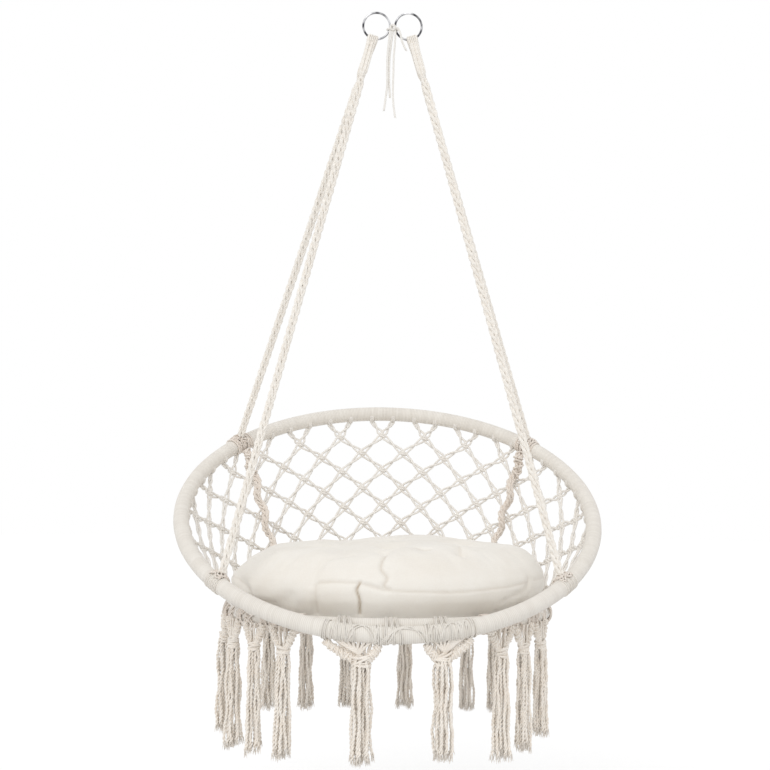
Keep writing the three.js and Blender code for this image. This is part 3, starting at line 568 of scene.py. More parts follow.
front_pitch = 3.3
front_reach = 14.8
rear_pitch = 4.4
rear_reach = 15.9
bar_reach = 19.2
bar_long = 13.5
bar_cord = 0.0034
turn_cord = 0.003
# A darker copy of the cotton. Its dark tone is painted shade for the dark grooves of knot clusters. The inner
# braids and seat hitches use it too.
shaded_hitch_cotton = cotton("shaded_hitch_cotton", shade(250, 244, 237), shade(214, 200, 186), lay=0.006, deep=0.0005)
for word, side in both_sides:
    for part, turn in ropes.items():
        at, along, _ = on_side(side, "back", turn)
        to_ring = Vector((side * ring_aside, 0, hang_high - ring_drop)) - at
        turns = []
        for k in range(10):
            shift = (k - 4.5) * (rear_pitch if part == "rear" else front_pitch)
            reach = rear_reach + 0.8 * (k % 2) if part == "rear" else front_reach
            turns.append(placed(turn_round(at, along, to_ring, reach, shift=shift, lean=1.2, phase=k * 2.1)))
        if part == "front":
            fixed(spun("hitch_turns_" + word, turns, turn_cord, closed=True), winding_cotton["back_hoop"],
                  "rope", "frame")
            turns = []
        lead = (to_ring - along * to_ring.dot(along)).normalized()
        across = along.cross(lead)
        bars = []
        for k in range(7):
            tilt = 0.5 * sin(k * 2.4)
            bar = []
            for t in range(9):
                swing = pi * (t / 8 - 0.5)
                bend = (k - 3) * 0.27 + 0.2 * sin(t * 1.7 + k)
                reach = bar_reach - 2.4 * abs(t / 4 - 1) ** 2 + 0.8 * sin(k * 3.1 + t)
                bar.append(at + toward(lead, across, bend) * reach
                           + along * (bar_long * sin(swing) + 5 * tilt * cos(swing)))
            bars.append(placed(bar))
        closes = [True] * len(turns) + [False] * len(bars)
        fixed(spun(f"hitch_{part}_{word}", turns + bars, bar_cord, closes), shaded_hitch_cotton, "rope", "frame",
              f"rope_knot_{part}_{word}")


# The back is one net of square knots. Each strand is a pair of thin cords that part in a small
# eye beside a knot and twist once between two knots. Its ends are looped into both windings.
net_columns = 34
net_size = 11
net_first = 46
net_space = 37
net_last = 32
net_half = 135
net_skin = 14.85
net_cord = 0.0047
cord_aside = 2.6
eye_aside = 2.1
eye_from_knot = 6.5
net_cotton = cotton("net_cotton", shade(250, 248, 244), shade(224, 217, 208), lay=0.0056, deep=0.0004)


def ruling(share):
    """The straight line down the net from the large hoop to the small one, at a share of its turn."""
    top, top_way, _ = on_hoop("back", -27 + 234 * share)
    foot, foot_way, _ = on_hoop("seat", -28 + 236 * share)
    length = (foot - top).length
    down = (foot - top) / length
    return {
        "top": top, "foot": foot, "length": length, "down": down, "top_way": top_way,
        "foot_way": foot_way, "start": net_skin / sin(down.angle(top_way)),
        "stop": length - net_skin / sin(down.angle(foot_way)),
    }


def on_net(share, depth):
    line = ruling(share)
    return line["top"] + line["down"] * depth


def net_knot(column, line):
    share = column / net_columns
    depth = net_first + net_space * (line - 1)
    rise = -ruling(share)["down"]
    low = max(share - 0.25 / net_columns, 0)
    high = min(share + 0.25 / net_columns, 1)
    across = on_net(high, depth) - on_net(low, depth)
    across = (across - rise * across.dot(rise)).normalized()
    return {
        "at": on_net(share, depth), "across": across, "rise": rise, "face": across.cross(rise),
        "low": ruling(share)["length"] - depth < net_half,
    }


def settle(knots, low):
    """Knots of one half that hang on to nothing of their own half go over to the other."""
    groups = []
    seen = set()
    for start, knot in knots.items():
        if knot["low"] != low or start in seen:
            continue
        group = [start]
        seen.add(start)
        for column, line in group:
            for next_to in [(column + a, line + b) for b in (-1, 1) for a in (-1, 1)]:
                if next_to in knots and knots[next_to]["low"] == low and next_to not in seen:
                    seen.add(next_to)
                    group.append(next_to)
        groups.append(group)
    groups.sort(key=len, reverse=True)
    for group in groups[1:]:
        for place in group:
            knots[place]["low"] = not low


def pair(start, end, face, eye_end=True):
    """Two cords from start to end. They part in an eye beside a knot and twist between."""
    ahead = (end - start).normalized()
    side = face.cross(ahead).normalized()
    face = ahead.cross(side)
    cords = [[], []]
    length = (end - start).length
    for k in range(11):
        t = k / 10
        near = min(t, 1 - t if eye_end else 1) * length
        spread = cord_aside + eye_aside * exp(-((near - eye_from_knot) / 3.4) ** 2)
        spread -= 0.7 * exp(-(near / 2.0) ** 2)
        off = toward(side, face, pi * held((t - 0.28) / 0.44)) * spread
        middle = start.lerp(end, t)
        cords[0].append(middle + off)
        cords[1].append(middle - off)
    return cords


def square_knot(knot):
    """The two working cords of a square knot, tied round the pair in the middle."""
    turns = []
    for way in (1, -1):
        turn = []
        for angle in circle(8):
            turn.append(knot["at"] + toward(knot["across"] * 5.2, knot["face"] * 3.3, angle)
                        + knot["rise"] * way * (2.1 + 1.9 * cos(angle) * way))
        turns.append(turn)
    return turns


def beside(knot, way, rise):
    """Where a strand leaves a knot: on the side way, above it for a rise of 1, below it for -1."""
    return knot["at"] + (knot["across"] * way + knot["rise"] * rise) * net_size / 4 * 0.7


def netted(name, strands, turns):
    return spun(name, [placed(cord) for cord in strands + turns], net_cord,
                [False] * len(strands) + [True] * len(turns))


loop_reaches = (13.4, 15.0, 15.7, 15.9, 15.7, 15.0, 13.4)


def looped(at, along, lead):
    """The small bight by which a strand comes out of the winding of a hoop."""
    loops = []
    for shift in (-1.7, 1.7):
        points = turn_round(at, along, lead, 1, -62, 62, 7, shift)
        middle = at + along * shift
        loops.append([middle + (point - middle) * reach for point, reach in zip(points, loop_reaches)])
    return loops


def tied(knot, way, rise, end, at, along):
    """The pair from a knot to a place on a hoop's winding, with the bights that hold it there."""
    strand = pair(beside(knot, way, rise), end, knot["face"], eye_end=False)
    return strand + looped(at, along, end - at)


knots = {}
for column in range(net_columns + 1):
    room = ruling(column / net_columns)["length"] - net_last
    line = 1 if column % 2 else 2
    while net_first + net_space * (line - 1) < room:
        knots[column, line] = net_knot(column, line)
        line += 2
settle(knots, False)
settle(knots, True)

halves = {False: [[], []], True: [[], []]}
for (column, line), knot in knots.items():
    strands, turns = halves[knot["low"]]
    turns.extend(square_knot(knot))
    for way in (-1, 1):
        if not 0 <= column + way <= net_columns:
            continue
        other = knots.get((column + way, line + 1))
        if other:
            cords = pair(beside(knot, way, -1), beside(other, -way, 1), knot["face"])
            if other["low"] == knot["low"]:
                strands.extend(cords)
            else:
                strands.extend(cord[:6] for cord in cords)
                halves[other["low"]][0].extend(cord[5:] for cord in cords)
        else:
            share = (column + 0.55 * way) / net_columns
            foot = ruling(share)
            end = on_net(share, foot["stop"])
            strands.extend(tied(knot, way, -1, end, foot["foot"], foot["foot_way"]))
    if line == 1:
        for way in (-1, 1):
            share = (column + 0.5 * way) / net_columns
            top = ruling(share)
            end = on_net(share, top["start"])
            strands.extend(tied(knot, way, 1, end, top["top"], top["top_way"]))

for low, name, node in ((False, "net_upper", "back_net_upper"), (True, "net_lower", "back_net_lower")):
    net = fixed(netted(name, *halves[low]), net_cotton, "cotton_cord", None if low else "frame", node)
    if low:
        tuple(chair(0, 0, 125))
        tuple(chair(0, 0, 8))
        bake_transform(net)


# Two flat braids run from the rear rope knots down inside the net to the small hoop, and two
# straps of cords tie the hoops together below the front rope knots.
def clear_of(bar, way, along, radius):
    angle = way.angle(along)
    return (bar + 0.35 + radius * abs(cos(angle))) / sin(angle)


braid_foot = 42
braid_thick = 15
braid_wide = 0.0172
braid_pitch = 0.05
braid_cord = 0.0043
braid_rise = 95
braid_end = 15
braid_inset = 8.5
braid_outset = 12
strap_foot = -38
strap_radius = 8.5
strap_cord = 0.0042
for word, side in both_sides:
    top, top_way, _ = on_side(side, "back", ropes["rear"])
    foot, _, foot_out = on_side(side, "seat", braid_foot)
    inward = Vector((-side, -1, 0)).normalized()
    start_way = ((foot - top).normalized() + inward * 0.62).normalized()
    start = top + start_way * clear_of(knot_flat, start_way, top_way, braid_thick / 2)
    leaving = start + start_way * braid_thick
    bend = foot + up * braid_rise + foot_out * braid_outset
    end = foot + up * braid_end - foot_out * braid_inset
    route = [start - start_way * 4, leaving, leaving.lerp(bend, 0.5), bend, end.lerp(bend, 0.2), end]
    line = []
    for i, (point, face, across) in enumerate(carried(smooth(placed(route), 72), inward)):
        curl = tau * i / 15
        wide = 0.0042 * min(1, i / 6, (71 - i) / 6)
        line.append(point + toward(across * side, face, curl) * wide)
    cords = braided(line, inward, braid_wide, braid_pitch)
    for k in range(6):
        point, face, across = carried(line, inward)[2 + 2 * k]
        wide = 0.0078 + 0.0014 * (k % 2)
        loop = [point + toward(face, across, a) * wide
                + (line[3 + 2 * k] - point).normalized() * 0.004 * sin(a + k * 2)
                for a in (*circle(12), tau)]
        cords.append(loop)
    piece = fixed(spun("braid_inner_" + word, cords, braid_cord), shaded_hitch_cotton, "rope", None,
                  "inner_braid_" + word)
    tuple(chair(*bend))
    tuple(chair(*end.lerp(bend, 0.2)))
    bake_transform(piece)

    top, top_way, _ = on_side(side, "back", ropes["front"])
    foot, foot_way, _ = on_side(side, "seat", strap_foot)
    fall = (foot - top).normalized()
    start = top + fall * (clear_of(hoop_half, fall, top_way, strap_radius) - 3)
    end = foot - fall * (clear_of(hoop_half, fall, foot_way, strap_radius) - 3)
    line = placed(along_line(start, end, 4))
    cords = []
    for k in range(9):
        cord = []
        for i, (point, face, across) in enumerate(carried(line, forward)):
            reach = 0.0 if k == 8 else 0.0059
            cord.append(point + toward(face, across, tau * (k / 8 + i * 0.035)) * reach)
        cords.append(cord)
    piece = fixed(spun("strap_" + word, cords, strap_cord), rope_cotton, "rope", None, "side_strap_" + word)
    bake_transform(piece)


# Three lashings of doubled cord bind the hoops together at the front, three turns each, over
# the small hoop and under the large one.
lash_cord = 0.0024
lash_pitch = 8
lash_bows = (-5, 1, 6)
lash_shares = {"left": -0.215, "middle": -0.012, "right": 0.202}


def hoop_across(which, x):
    radius = back_radius if which == "back" else seat_radius
    at, along, _ = on_hoop(which, -90 + degrees(asin(x / radius)))
    return at, abs(along.x)


for word, share in lash_shares.items():
    cords = []
    for off in (-1.3, 1.3):
        cord = []
        for i in range(61):
            turn = i // 20 if i < 60 else 2
            bow = lash_bows[turn] * sin(pi * max(i - turn * 20 - 9, 0) / 11)
            x = back_radius * share + lash_pitch * (i / 20 - 1.5) + off + bow
            back, back_slant = hoop_across("back", x)
            seat, seat_slant = hoop_across("seat", x)
            to_seat = seat - back
            to_seat.x = 0
            to_seat.normalize()
            over = -Vector((1, 0, 0)).cross(to_seat)
            k = i % 20
            upper = k < 10
            angle = (1 if upper else -1) * radians(90 - (k % 10) * 20)
            reach = hoop_half / (seat_slant if upper else back_slant) + 1.1
            way = toward(to_seat * (1 if upper else -1), over, angle)
            cord.append((seat if upper else back) + way * reach)
        cords.append(placed(cord))
    piece = fixed(spun("lash_" + word, cords, lash_cord), winding_cotton["back_hoop"], "rope", None,
                  "front_lashing_" + word)
    tuple(chair(*back))
    tuple(chair(*seat))
    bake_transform(piece)


# The seat is a shallow bowl of the same net, gathered into a ring at its middle. It is looped
# into the winding of the small hoop all round, and carries the cushion.
seat_net_drop = 8
seat_net_bowl = 14
seat_columns = 12


def seat_net_height(radius):
    return -seat_net_drop - seat_net_bowl * (1 - (radius / seat_radius) ** 2)


seat_rows = []
for line, share in enumerate((0.86, 0.70, 0.54, 0.38, 0.22)):
    ring = []
    for column in range(seat_columns):
        angle = tau * (column + (line % 2) / 2) / seat_columns
        radius = seat_radius * share
        rise = heading(angle)
        across = up.cross(rise)
        ring.append({"at": rise * radius + up * seat_net_height(radius), "rise": rise, "across": across,
                     "face": across.cross(rise)})
    seat_rows.append(ring)
strands = []
turns = []
for line, ring in enumerate(seat_rows):
    for column, knot in enumerate(ring):
        turns.extend(square_knot(knot))
        if ring is not seat_rows[-1]:
            inner = seat_rows[line + 1]
            for way, place in ((1, column + line % 2), (-1, column - 1 + line % 2)):
                other = inner[place % seat_columns]
                strands.extend(pair(beside(knot, way, -1), beside(other, -way, 1), knot["face"]))
        else:
            strands.extend(pair(knot["at"], ring[(column + 1) % seat_columns]["at"], knot["face"]))
        if line == 0:
            for way in (-1, 1):
                at, along, out = on_hoop("seat", 360 * (column + 0.25 * way) / seat_columns)
                lead = -out * sqrt(net_skin ** 2 - seat_net_drop ** 2) - up * seat_net_drop
                strands.extend(tied(knot, way, 1, at + lead, at, along))
fixed(netted("net_seat", strands, turns), net_cotton, "cotton_cord", "seat", "seat_net")


# The cushion is a round pad of off-white cotton cloth, stuffed tight. A seam runs round its
# side, seven stitches pull its top in, and its foot sits inside the small hoop on the net.
hoop_hole = 264
half_wide = 296
half_deep = 272
cushion_back = -12
cushion_floor = -17.5
cushion_crown = 128
swell_most = 0.005
cushion_sides = ((0.985, 0.385), (1, 0.5), (0.985, 0.63), (0.94, 0.76), (0.87, 0.86), (0.77, 0.925),
                 (0.66, 0.955), (0.55, 0.975), (0.44, 0.985), (0.33, 0.99), (0.22, 1), (0.11, 1))


def pad_shape():
    """The stuffed pad before it swells: rings drawn in from one circle, capped at both ends."""
    work = bmesh.new()
    profile = []
    for share in (0.25, 0.55, 0.8, 0.94):
        profile.append((share * hoop_hole, share * hoop_hole, 0, seat_net_height(share * hoop_hole) + 4.5))
    profile.append((0.985 * hoop_hole, 0.985 * hoop_hole, 0, 4.4))
    profile.append((hoop_hole, hoop_hole, 0, 15.5))
    for share, high in cushion_sides:
        profile.append((share * half_wide, share * half_deep, cushion_back,
                        cushion_floor + (cushion_crown - cushion_floor) * high))
    made = bmesh.ops.create_circle(work, segments=72, radius=1)
    edges = work.edges[:]
    ring = made["verts"]
    last_wide, last_deep, last_y = 1, 1, 0
    for i, (wide, deep, y, z) in enumerate(profile):
        if i:
            grown = bmesh.ops.extrude_edge_only(work, edges=edges)["geom"]
            ring = [item for item in grown if isinstance(item, bmesh.types.BMVert)]
            edges = [item for item in grown if isinstance(item, bmesh.types.BMEdge)]
        for vertex in ring:
            angle = atan2((vertex.co.y - last_y) / last_deep, vertex.co.x / last_wide)
            vertex.co = Vector((wide * cos(angle), deep * sin(angle) + y, z))
        last_wide, last_deep, last_y = wide, deep, y
    bmesh.ops.holes_fill(work, edges=[edge for edge in work.edges if edge.is_boundary], sides=0)
    bmesh.ops.recalc_face_normals(work, faces=work.faces)
    for vertex in work.verts:
        vertex.co = chair(*vertex.co)
    return meshed(work, "cushion_pad")


def settled(piece):
    """Puts a piece's modifiers into its mesh."""
    seen = piece.evaluated_get(bpy.context.evaluated_depsgraph_get())
    shape = bpy.data.meshes.new_from_object(seen)
    piece.modifiers.clear()
    piece.data = shape


def spots_of(piece):
    """The places of a piece's vertices, one to a row."""
    spots = np.zeros(len(piece.data.vertices) * 3)
    piece.data.vertices.foreach_get("co", spots)
    return spots.reshape(-1, 3)


pad = added("cushion_pad", pad_shape())
knit = pad.modifiers.new("remesh", "REMESH")
knit.mode = "VOXEL"
knit.voxel_size = 0.0054
settled(pad)
before = spots_of(pad)
swell = pad.modifiers.new("swell", "CLOTH")
swell.settings.use_pressure = True
swell.settings.uniform_pressure_force = 4
swell.settings.effector_weights.gravity = 0
for step in range(1, 21):
    scene.frame_set(step)
settled(pad)
scene.frame_set(1)
move = spots_of(pad) - before
far = np.linalg.norm(move, axis=1, keepdims=True)
move *= np.minimum(1, swell_most / np.maximum(far, 1e-9))
pad.data.vertices.foreach_set("co", (before + move).ravel())
fine = pad.modifiers.new("fine", "SUBSURF")
fine.levels = 1
fine.render_levels = 1
settled(pad)
tufts = [(0.0, 0.0)] + [(0.5, radians(60 * (k + 0.5))) for k in range(6)]
dents = [(share * half_wide * cos(turn), cushion_back + share * half_deep * sin(turn), 15, 30)
         for share, turn in tufts]
dents += [(-15, -205, 9, 17), (55, -205, 7, 15), (119, -190, 9, 16)]
slump_at = (-296, -279, -256, -202, -125, -84, -50, -26, 28, 67, 129, 185, 224, 262, 288)
slump = (0.5, 0.55, 0.73, 0.895, 0.94, 0.85, 0.905, 0.985, 1.03, 1.04, 1.01, 0.96, 0.995, 1.05, 1.12)
slump_from = 58
around = [(half_wide * cos(radians(turn)), cushion_back + half_deep * sin(radians(turn)),
           67 - 4 * sin(radians(turn))) for turn in range(-28, 206, 9)]
# Each fold: the points of its route in mm, how deep it is pressed in, how wide it is, and how dark its
# painted shade is.
folds = [
    (around, 1.4, 3.4, 0.15),
    ([(-17, -283, 61), (41, -280, 58), (110, -262, 56), (182, -226, 60), (221, -192, 63),
      (249, -156, 67)], 1.4, 3.4, 0.25),
    ([(-129, -254, 71), (-92, -267, 76), (-59, -276, 74), (-17, -283, 61)], 3.6, 4.2, 0.2),
    ([(-134, -253, 66), (-132, -245, 40), (-128, -223, 18)], 4, 7, 0.15),
    ([(-59, -274, 77), (-64, -277, 60), (-58, -269, 40), (-56, -249, 21)], 6, 3.2, 0.9),
    ([(-14, -210, 122), (-14, -229, 118), (-22, -262, 101), (-12, -276, 85), (-17, -281, 69),
      (-7, -284, 61)], 4, 4.2, 0.35),
    ([(-139, -250, 68), (-137, -243, 85), (-129, -232, 98), (-104, -212, 111), (-74, -199, 115)], 3, 8, 0),
    ([(-282, -80, 68), (-275, -110, 62), (-257, -138, 46), (-234, -139, 29), (-203, -176, 28)], 7, 12, 0.2),
    ([(-203, -176, 28), (-176, -220, 42)], 4, 14, 0),
    ([(249, -156, 70), (239, -168, 51), (194, -199, 36)], 3.5, 8, 0.1),
    ([(34, -175, 124), (50, -190, 121), (66, -192, 120)], 3, 7, 0.22),
    ([(119, -150, 122), (120, -196, 116)], 3.5, 8, 0.2),
    ([(60, 262, 56), (52, 255, 36), (48, 240, 20)], 5, 6, 0.5),
    ([(-120, 236, 61), (-112, 240, 80), (-95, 215, 102), (-70, 180, 114)], 4, 8, 0.1),
    ([(180, 196, 61), (170, 200, 82), (140, 180, 106)], 4, 9, 0.1),
]


def off_line(spots, line):
    """How far each of many spots is from a line, in the line's own units."""
    best = np.full(len(spots), 1e9)
    for a, b in zip(line, line[1:]):
        run = np.array(b - a)
        along = np.clip((spots - np.array(a)) @ run / (run @ run), 0, 1)[:, None]
        best = np.minimum(best, np.linalg.norm(spots - np.array(a) - along * run, axis=1))
    return best


work = bmesh.new()
work.from_mesh(pad.data)
for vertex in work.verts:
    x, y, z = vertex.co.x * 1000, vertex.co.y * 1000 + hang_back, vertex.co.z * 1000 + hang_high
    sink = max(z - slump_from, 0) * (1 - np.interp(x, slump_at, slump))
    if z > 60 and vertex.normal.z > 0.1:
        for far_x, far_y, deep, wide in dents:
            sink += deep * exp(-((x - far_x) ** 2 + (y - far_y) ** 2) / wide ** 2)
    vertex.co.z -= sink / 1000
work.normal_update()
skin = BVHTree.FromBMesh(work)
spots = np.array([vertex.co for vertex in work.verts])
crease_shade = np.zeros(len(spots))
inset = np.zeros(len(spots))
for route, deep, wide, ink in folds:
    path = smooth(placed([Vector(point) for point in route]), len(route) * 5)
    line = [skin.find_nearest(point)[0] for point in path]
    near = off_line(spots, line) * 1000
    inset = np.maximum(inset, deep * np.exp(-(near / wide) ** 2))
    # This darkens the cloth's colour along each fold and the seam: painted shade.
    crease_shade = np.maximum(crease_shade, ink * np.exp(-(near / min(wide * 0.6, 2.8)) ** 2))
for vertex, deep in zip(work.verts, inset):
    lump = noise.noise(vertex.co * 17) * 2.4 + noise.noise(vertex.co * 46) * 0.7
    above = held((vertex.co.z * 1000 + hang_high - 20) / 30)
    vertex.co -= vertex.normal * (deep + lump * above) / 1000
    vertex.co.z = min(vertex.co.z, chair(0, 0, 131).z)
work.to_mesh(pad.data)
work.free()
pad.data.attributes.new("crease_shade", "FLOAT", "POINT").data.foreach_set("value", crease_shade)
for face in pad.data.polygons:
    face.use_smooth = True


def pad_cloth(dye):
    place = dye.place()
    axes = dye.node("ShaderNodeSeparateXYZ", sockets={0: place})
    thread = tau / 0.0016
    weft = dye.sum("SINE", (axes.out("Y") + axes.out("Z")) * thread)
    weave = dye.sum("SINE", axes.out("X") * thread) * weft
    slub = place.noise(420.0, 3.0)
    wide = place.noise(14.0, 3.0)
    crease_shade = dye.node("ShaderNodeAttribute", {"attribute_name": "crease_shade"}, out="Fac")
    tone = (weave * 0.08 + slub * 0.35 + wide * 0.6 + 0.05).held()
    cloth = tone.blend(shade(227, 219, 207), shade(246, 244, 239))
    relief = (weave * 0.4 + slub * 0.8 + wide * 4.0).bump(0.35, 0.0005)
    # The cloth is painted a darker brown along the folds and seam, as shade.
    return soft((crease_shade * 0.85).blend(cloth, shade(176, 156, 130)), slub * 0.12 + 0.8, relief, 0.25, 0.5)


fixed(pad, finish("cushion_cotton", pad_cloth), "cushion_cloth", "cushion", "cushion")


# Fifteen tassels hang round the hoops. Two bands of cords come from the hoop's winding and meet
# in a knot, and from the knot hangs a bundle of some thirty cut threads that fray at their ends.
fringe_cotton = cotton("fringe_cotton", shade(255, 253, 249), shade(230, 216, 199), lay=0.006, deep=0.0003,
                       twist=0.4)
tassels = (
    (-82.5, 1, None), (-67, 1.06, None), (-52, 1.04, None), (-38, 1.04, None),
    (-10.5, 1.01, (-58, 28)), (15.5, 0.97, (-26, 46)), (38, 1.04, None), (49.5, 1.01, None),
    (62, 0.93, None), (132, 1.02, None), (145, 1.04, None), (170.5, 1.07, None),
    (193.5, 1.05, None), (211, 1.05, None), (229.5, 1, None),
)
tassel_ring = 302
tassel_foot = -219
hitch_pitch = 3.6
leg_reach = 30
front_band = 13
fringe_cord = 0.0032
threads_from = 36
golden_turn = 2.39996


def leg_start(near, reach, on_front):
    """Where a band of cords comes off a hoop: under the large one, or low outside the small one."""
    clear = hoop_half * cos(pi / 10) + 0.6
    if on_front:
        at, slant = hoop_across("back", near.x)
        return at - up * (clear + front_band / 2 * abs(reach) / hypot(reach, leg_reach))
    at, _, out = on_hoop("seat", degrees(atan2(near.y, near.x)))
    return at + toward(out, -up, radians(25)) * (clear + 4)


def sagging(start, end, drop, count):
    """Points on a line from start to end that hangs by drop at its middle."""
    last = count - 1
    return [start.lerp(end, k / last) - up * (4 * drop * k * (last - k) / last ** 2) for k in range(count)]


hitches = {"seat": [], "frame": []}
tied_on = []


def hitched(body, which, turn, count):
    """Turns of cord round a hoop, where the bands of a tassel are tied on."""
    at, along, out = on_hoop(which, turn)
    for k in range(count):
        lean = uniform(-1.6, 1.6)
        reach = hoop_half + uniform(1.2, 2.2)
        shift = (k - (count - 1) / 2) * hitch_pitch
        ring = turn_round(at, along, out, reach, steps=20, shift=shift, lean=lean, phase=k)
        hitches[body].append((placed(ring), True))


for number, (turn, long_share, legs) in enumerate(tassels, 1):
    seed(100 + number)
    reaches = legs or (-16, 16)
    angle = radians(turn)
    middle = heading(angle - pi / 2) * tassel_ring
    tangent = heading(0 if legs else angle)
    tops = [leg_start(middle + tangent * reach, reach, bool(legs)) for reach in reaches]
    pivot = tops[0].lerp(tops[1], -reaches[0] / (reaches[1] - reaches[0]))
    across = tops[1] - tops[0]
    across.z = 0
    across.normalize()
    outward = across.cross(up)
    down = -up
    if not legs:
        tops = [leg_start(middle + tangent * reach, reach, False) for reach in (-25, 25)]
    rise = 12 if legs else 0
    head = pivot + down * (leg_reach + 8 - rise)
    foot = tassel_foot * long_share - pivot.z
    head_wide = 18.5 if legs else 13.5
    foot_wide = 22.0 if legs else 19.5
    band = 7 if legs else 6
    thick = 5.0 if legs else 4.4
    pinch = -34 if legs else 18
    count = 17 if legs else 14
    cords = []
    for side, top in zip((-1, 1), tops):
        meet = head + across * side * (8 if legs else 4)
        route = sagging(top - (head - top).normalized() * 3, meet, 3 if legs else 2, 15)
        for k in range(band):
            cord = []
            for i, point in enumerate(route):
                ahead = (route[min(i + 1, 14)] - route[max(i - 1, 0)]).normalized()
                flat = ahead.cross(outward).normalized()
                spin = tau * (k / band + side * i / 8)
                wide = thick * (1 + 0.25 * sin(i * 1.9 + k))
                cord.append(point + toward(flat, outward * 0.8, spin) * wide)
            cords.append((cord, False, [1.15] * 15))
        for k in range(6 if legs else 4):
            at = route[2 + 2 * k]
            ahead = (route[3 + 2 * k] - at).normalized()
            flat = ahead.cross(outward).normalized()
            tip = uniform(-0.7, 0.7)
            hitch = [at + toward(flat + ahead * tip, outward * 0.85, a) * (thick + 1.9) for a in circle(12)]
            cords.append((hitch, True, [1.1] * 12))
        if legs:
            hitched("frame", "back", -90 + degrees(asin(top.x / back_radius)), 3)
        else:
            hitched("seat", "seat", degrees(atan2(top.y, top.x)), 5)
        tied_on.append((top, bool(legs)))
    for share in ((0.14, 0.26, 0.38, 0.5, 0.62, 0.74, 0.86) if legs else (0.3, 0.7)):
        reach = reaches[0] + (reaches[1] - reaches[0]) * share
        start = leg_start(middle + tangent * reach, 0 if legs else reach, bool(legs)) - down * 3
        for layer, spread in ((-1, 26), (1, pinch)):
            web = sagging(start, head + across * (share - 0.5) * spread, 0, 9)
            web = [point + outward * layer * 2.6 + across * 0.8 * sin(i * 1.4 + layer)
                   for i, point in enumerate(web)]
            cords.append((web, False, [1.65 if legs else 1.25] * 9))
    for k in range(7):
        radius = head_wide * uniform(0.62, 0.86)
        tip = uniform(-0.5, 0.5)
        shift = uniform(-0.12, 0.12) * head_wide
        level = leg_reach + 2 - rise + 2.4 * k
        turn_about = [pivot + across * shift + toward(across, outward * 0.8, a) * radius
                      + down * (level + radius * tip * cos(a + k)) for a in circle(14)]
        cords.append((turn_about, True, [1.2] * 14))
    for k in range(count):
        share = sqrt((k + 0.4) / count)
        spin = k * golden_turn + uniform(-0.3, 0.3)
        out = toward(across, outward, spin)
        end = foot + uniform(4, 15)
        kink = uniform(0, 6.28)
        sway = uniform(0, 6.28)
        drift = uniform(-0.22, 0.06)
        steps = max(12, round((-end - threads_from + rise) / 2.4))
        plies = [[], []]
        for t in range(steps + 1):
            gone = t / steps
            level = threads_from - rise + (-end - threads_from + rise) * gone
            wide = head_wide * min(1, 0.75 + t * 0.04) + (foot_wide - head_wide) * gone ** 1.3 - 2.2
            reach = share * wide * (1 + drift * gone)
            slow = min(1, t / 9) * 2.1 * sin(sway + level / 14)
            quick = 0.6 * sin(kink + level / 4)
            point = (pivot + down * level + out * reach
                     + across * (slow * cos(kink) + quick * cos(sway))
                     + outward * (slow * sin(kink) + quick * sin(sway)))
            lay = tau * level / 15 + kink
            ply = toward(across, outward, lay) * (1.35 + 0.8 * max(gone - 0.93, 0) / 0.07)
            plies[0].append(point + ply)
            plies[1].append(point - ply)
        for ply in plies:
            cords.append((ply, False, [1.0] * (steps - 2) + [0.95, 0.85, 0.7]))
            for fibre in range(3):
                away = toward(across, outward, spin + fibre * 2.1 + uniform(-0.5, 0.5))
                tip = ply[-1]
                last = tip + away * uniform(1.6, 3.4) + down * uniform(7, 12)
                fray = [tip + away * 0.5 - down * 3, tip + away * 1.2 + down * 3, last]
                cords.append((fray, False, [0.5, 0.4, 0.18]))
    name = f"tassel_{number:02d}"
    lines, closes, waists = zip(*cords)
    fixed(spun(name + "_fringe", [placed(line) for line in lines], fringe_cord, closes, waists),
          fringe_cotton, "fringe", name, name)


# Between the tassels the same cords are tied round the hoops in rows of hitches. They run from
# one row to the next along the small hoop, and in arches over the front of the large one.
seed(77)
for (here, on_front), (there, there_too) in zip(tied_on, tied_on[1:]):
    if on_front or there_too or (there - here).length > 78:
        continue
    begin = atan2(here.y, here.x)
    sweep = (atan2(there.y, there.x) - begin + pi) % tau - pi
    for k in range(4):
        cord = []
        for t in range(13):
            at, _, out = on_hoop("seat", degrees(begin + sweep * t / 12))
            swing = radians((-70, -30, 5, 35)[k] + 45 * sin(pi * t / 12 + k * 1.6))
            reach = hoop_half + 2.6 + 1.2 * sin(t * 1.3 + k)
            cord.append(at + toward(out, up, swing) * reach)
        hitches["seat"].append((placed(cord), False))
arches = ((-107, -96), (-99, -88), (-81, -28), (-34, -20), (-27, 66), (-17, 55), (52, 76), (73, 113),
          (100, 112), (109, 122))
for begin, end in arches:
    for k in range(2):
        cord = []
        steep = uniform(0.6, 0.9)
        high = uniform(128, 156)
        kink = uniform(0, 6.28)
        for t in range(19):
            gone = pi * t / 18
            x = begin + (end - begin) * t / 18 + (k - 0.5) * 3 * cos(gone)
            at, _ = hoop_across("back", x + 0.7 * sin(t * 1.1 + kink))
            swing = radians(-80 + high * sin(gone) ** steep + 3 * sin(t * 0.9 + kink))
            reach = (hoop_half + 1.1 + 0.4 * k) / 1000
            cord.append(chair(*at) + toward(forward, up, swing) * reach)
        hitches["frame"].append((cord, False))
bare_places = (-166, -172, 178, 170, 150, 158, -14, -8, 2, 12, 24)
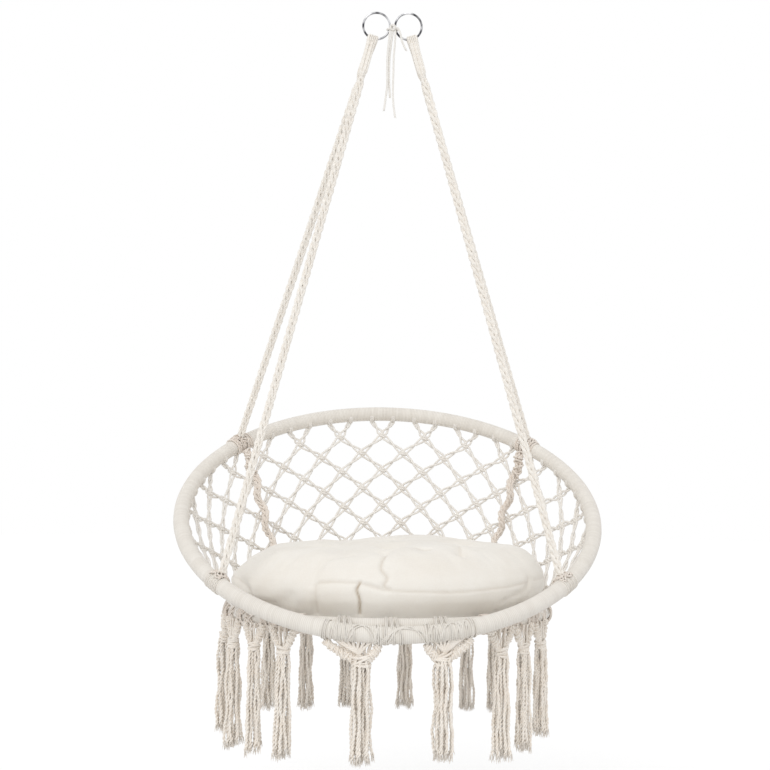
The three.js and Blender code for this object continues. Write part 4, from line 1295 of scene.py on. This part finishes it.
for turn in bare_places:
    at, along, out = on_hoop("seat", turn)
    for k in range(4):
        reach = hoop_half + uniform(2, 5.5)
        lean = uniform(-5, 5)
        ring = turn_round(at, along, out - up * 0.5, reach, -80, 100, 14, uniform(-7, 7))
        ring = [point + along * lean * sin(i * 0.45 + k) for i, point in enumerate(ring)]
        hitches["seat"].append((placed(ring), False))
for body, thick, cotton_of in (("seat", 0.003, shaded_hitch_cotton), ("frame", 0.0027, winding_cotton["back_hoop"])):
    lines, closes = zip(*hitches[body])
    fixed(spun("hitches_" + body, lines, thick, closes), cotton_of, "rope", body)


# A plain white floor lies under the chair. The light is soft and even, from a wide sun high in
# front of the chair, a little to the left, and from white walls all round.
floor_under = 1.62


def floor_paint(dye):
    ray = dye.node("ShaderNodeLightPath", out="Is Camera Ray")
    matt = dye.node("ShaderNodeBsdfDiffuse", sockets={"Color": (0.86, 0.86, 0.86, 1)})
    glow = dye.node("ShaderNodeEmission", sockets={"Color": (1, 1, 1, 1), "Strength": ray * 0.17})
    return dye.node("ShaderNodeAddShader", sockets={0: matt, 1: glow})


work = bmesh.new()
bmesh.ops.create_circle(work, cap_ends=True, segments=64, radius=12)
bmesh.ops.translate(work, vec=(0, 0, -floor_under), verts=work.verts)
ground = meshed(work, "floor")
ground.materials.append(finish("floor_paint", floor_paint))
added("floor", ground)

world = bpy.data.worlds.new("studio")
scene.world = world
world.use_nodes = True
world.node_tree.nodes.clear()
dye = Dye(world.node_tree)
path_of = dye.node("ShaderNodeLightPath")
seen = dye.sum("MAXIMUM", path_of.out("Is Camera Ray"), path_of.out("Is Glossy Ray"))
seen = dye.sum("MAXIMUM", seen, path_of.out("Is Transmission Ray"))
sky = dye.node("ShaderNodeBackground", sockets={"Color": (1, 1, 1, 1), "Strength": seen * 0.18 + 0.82})
dye.node("ShaderNodeOutputWorld", sockets={"Surface": sky})

sun = bpy.data.lights.new("window", "SUN")
sun.energy = 0.85
sun.angle = radians(50)
aim = Vector((-0.35, -1.0, 0.95))
added("window", sun).rotation_euler = aim.to_track_quat("Z", "Y").to_euler()

scene.view_settings.view_transform = "Standard"
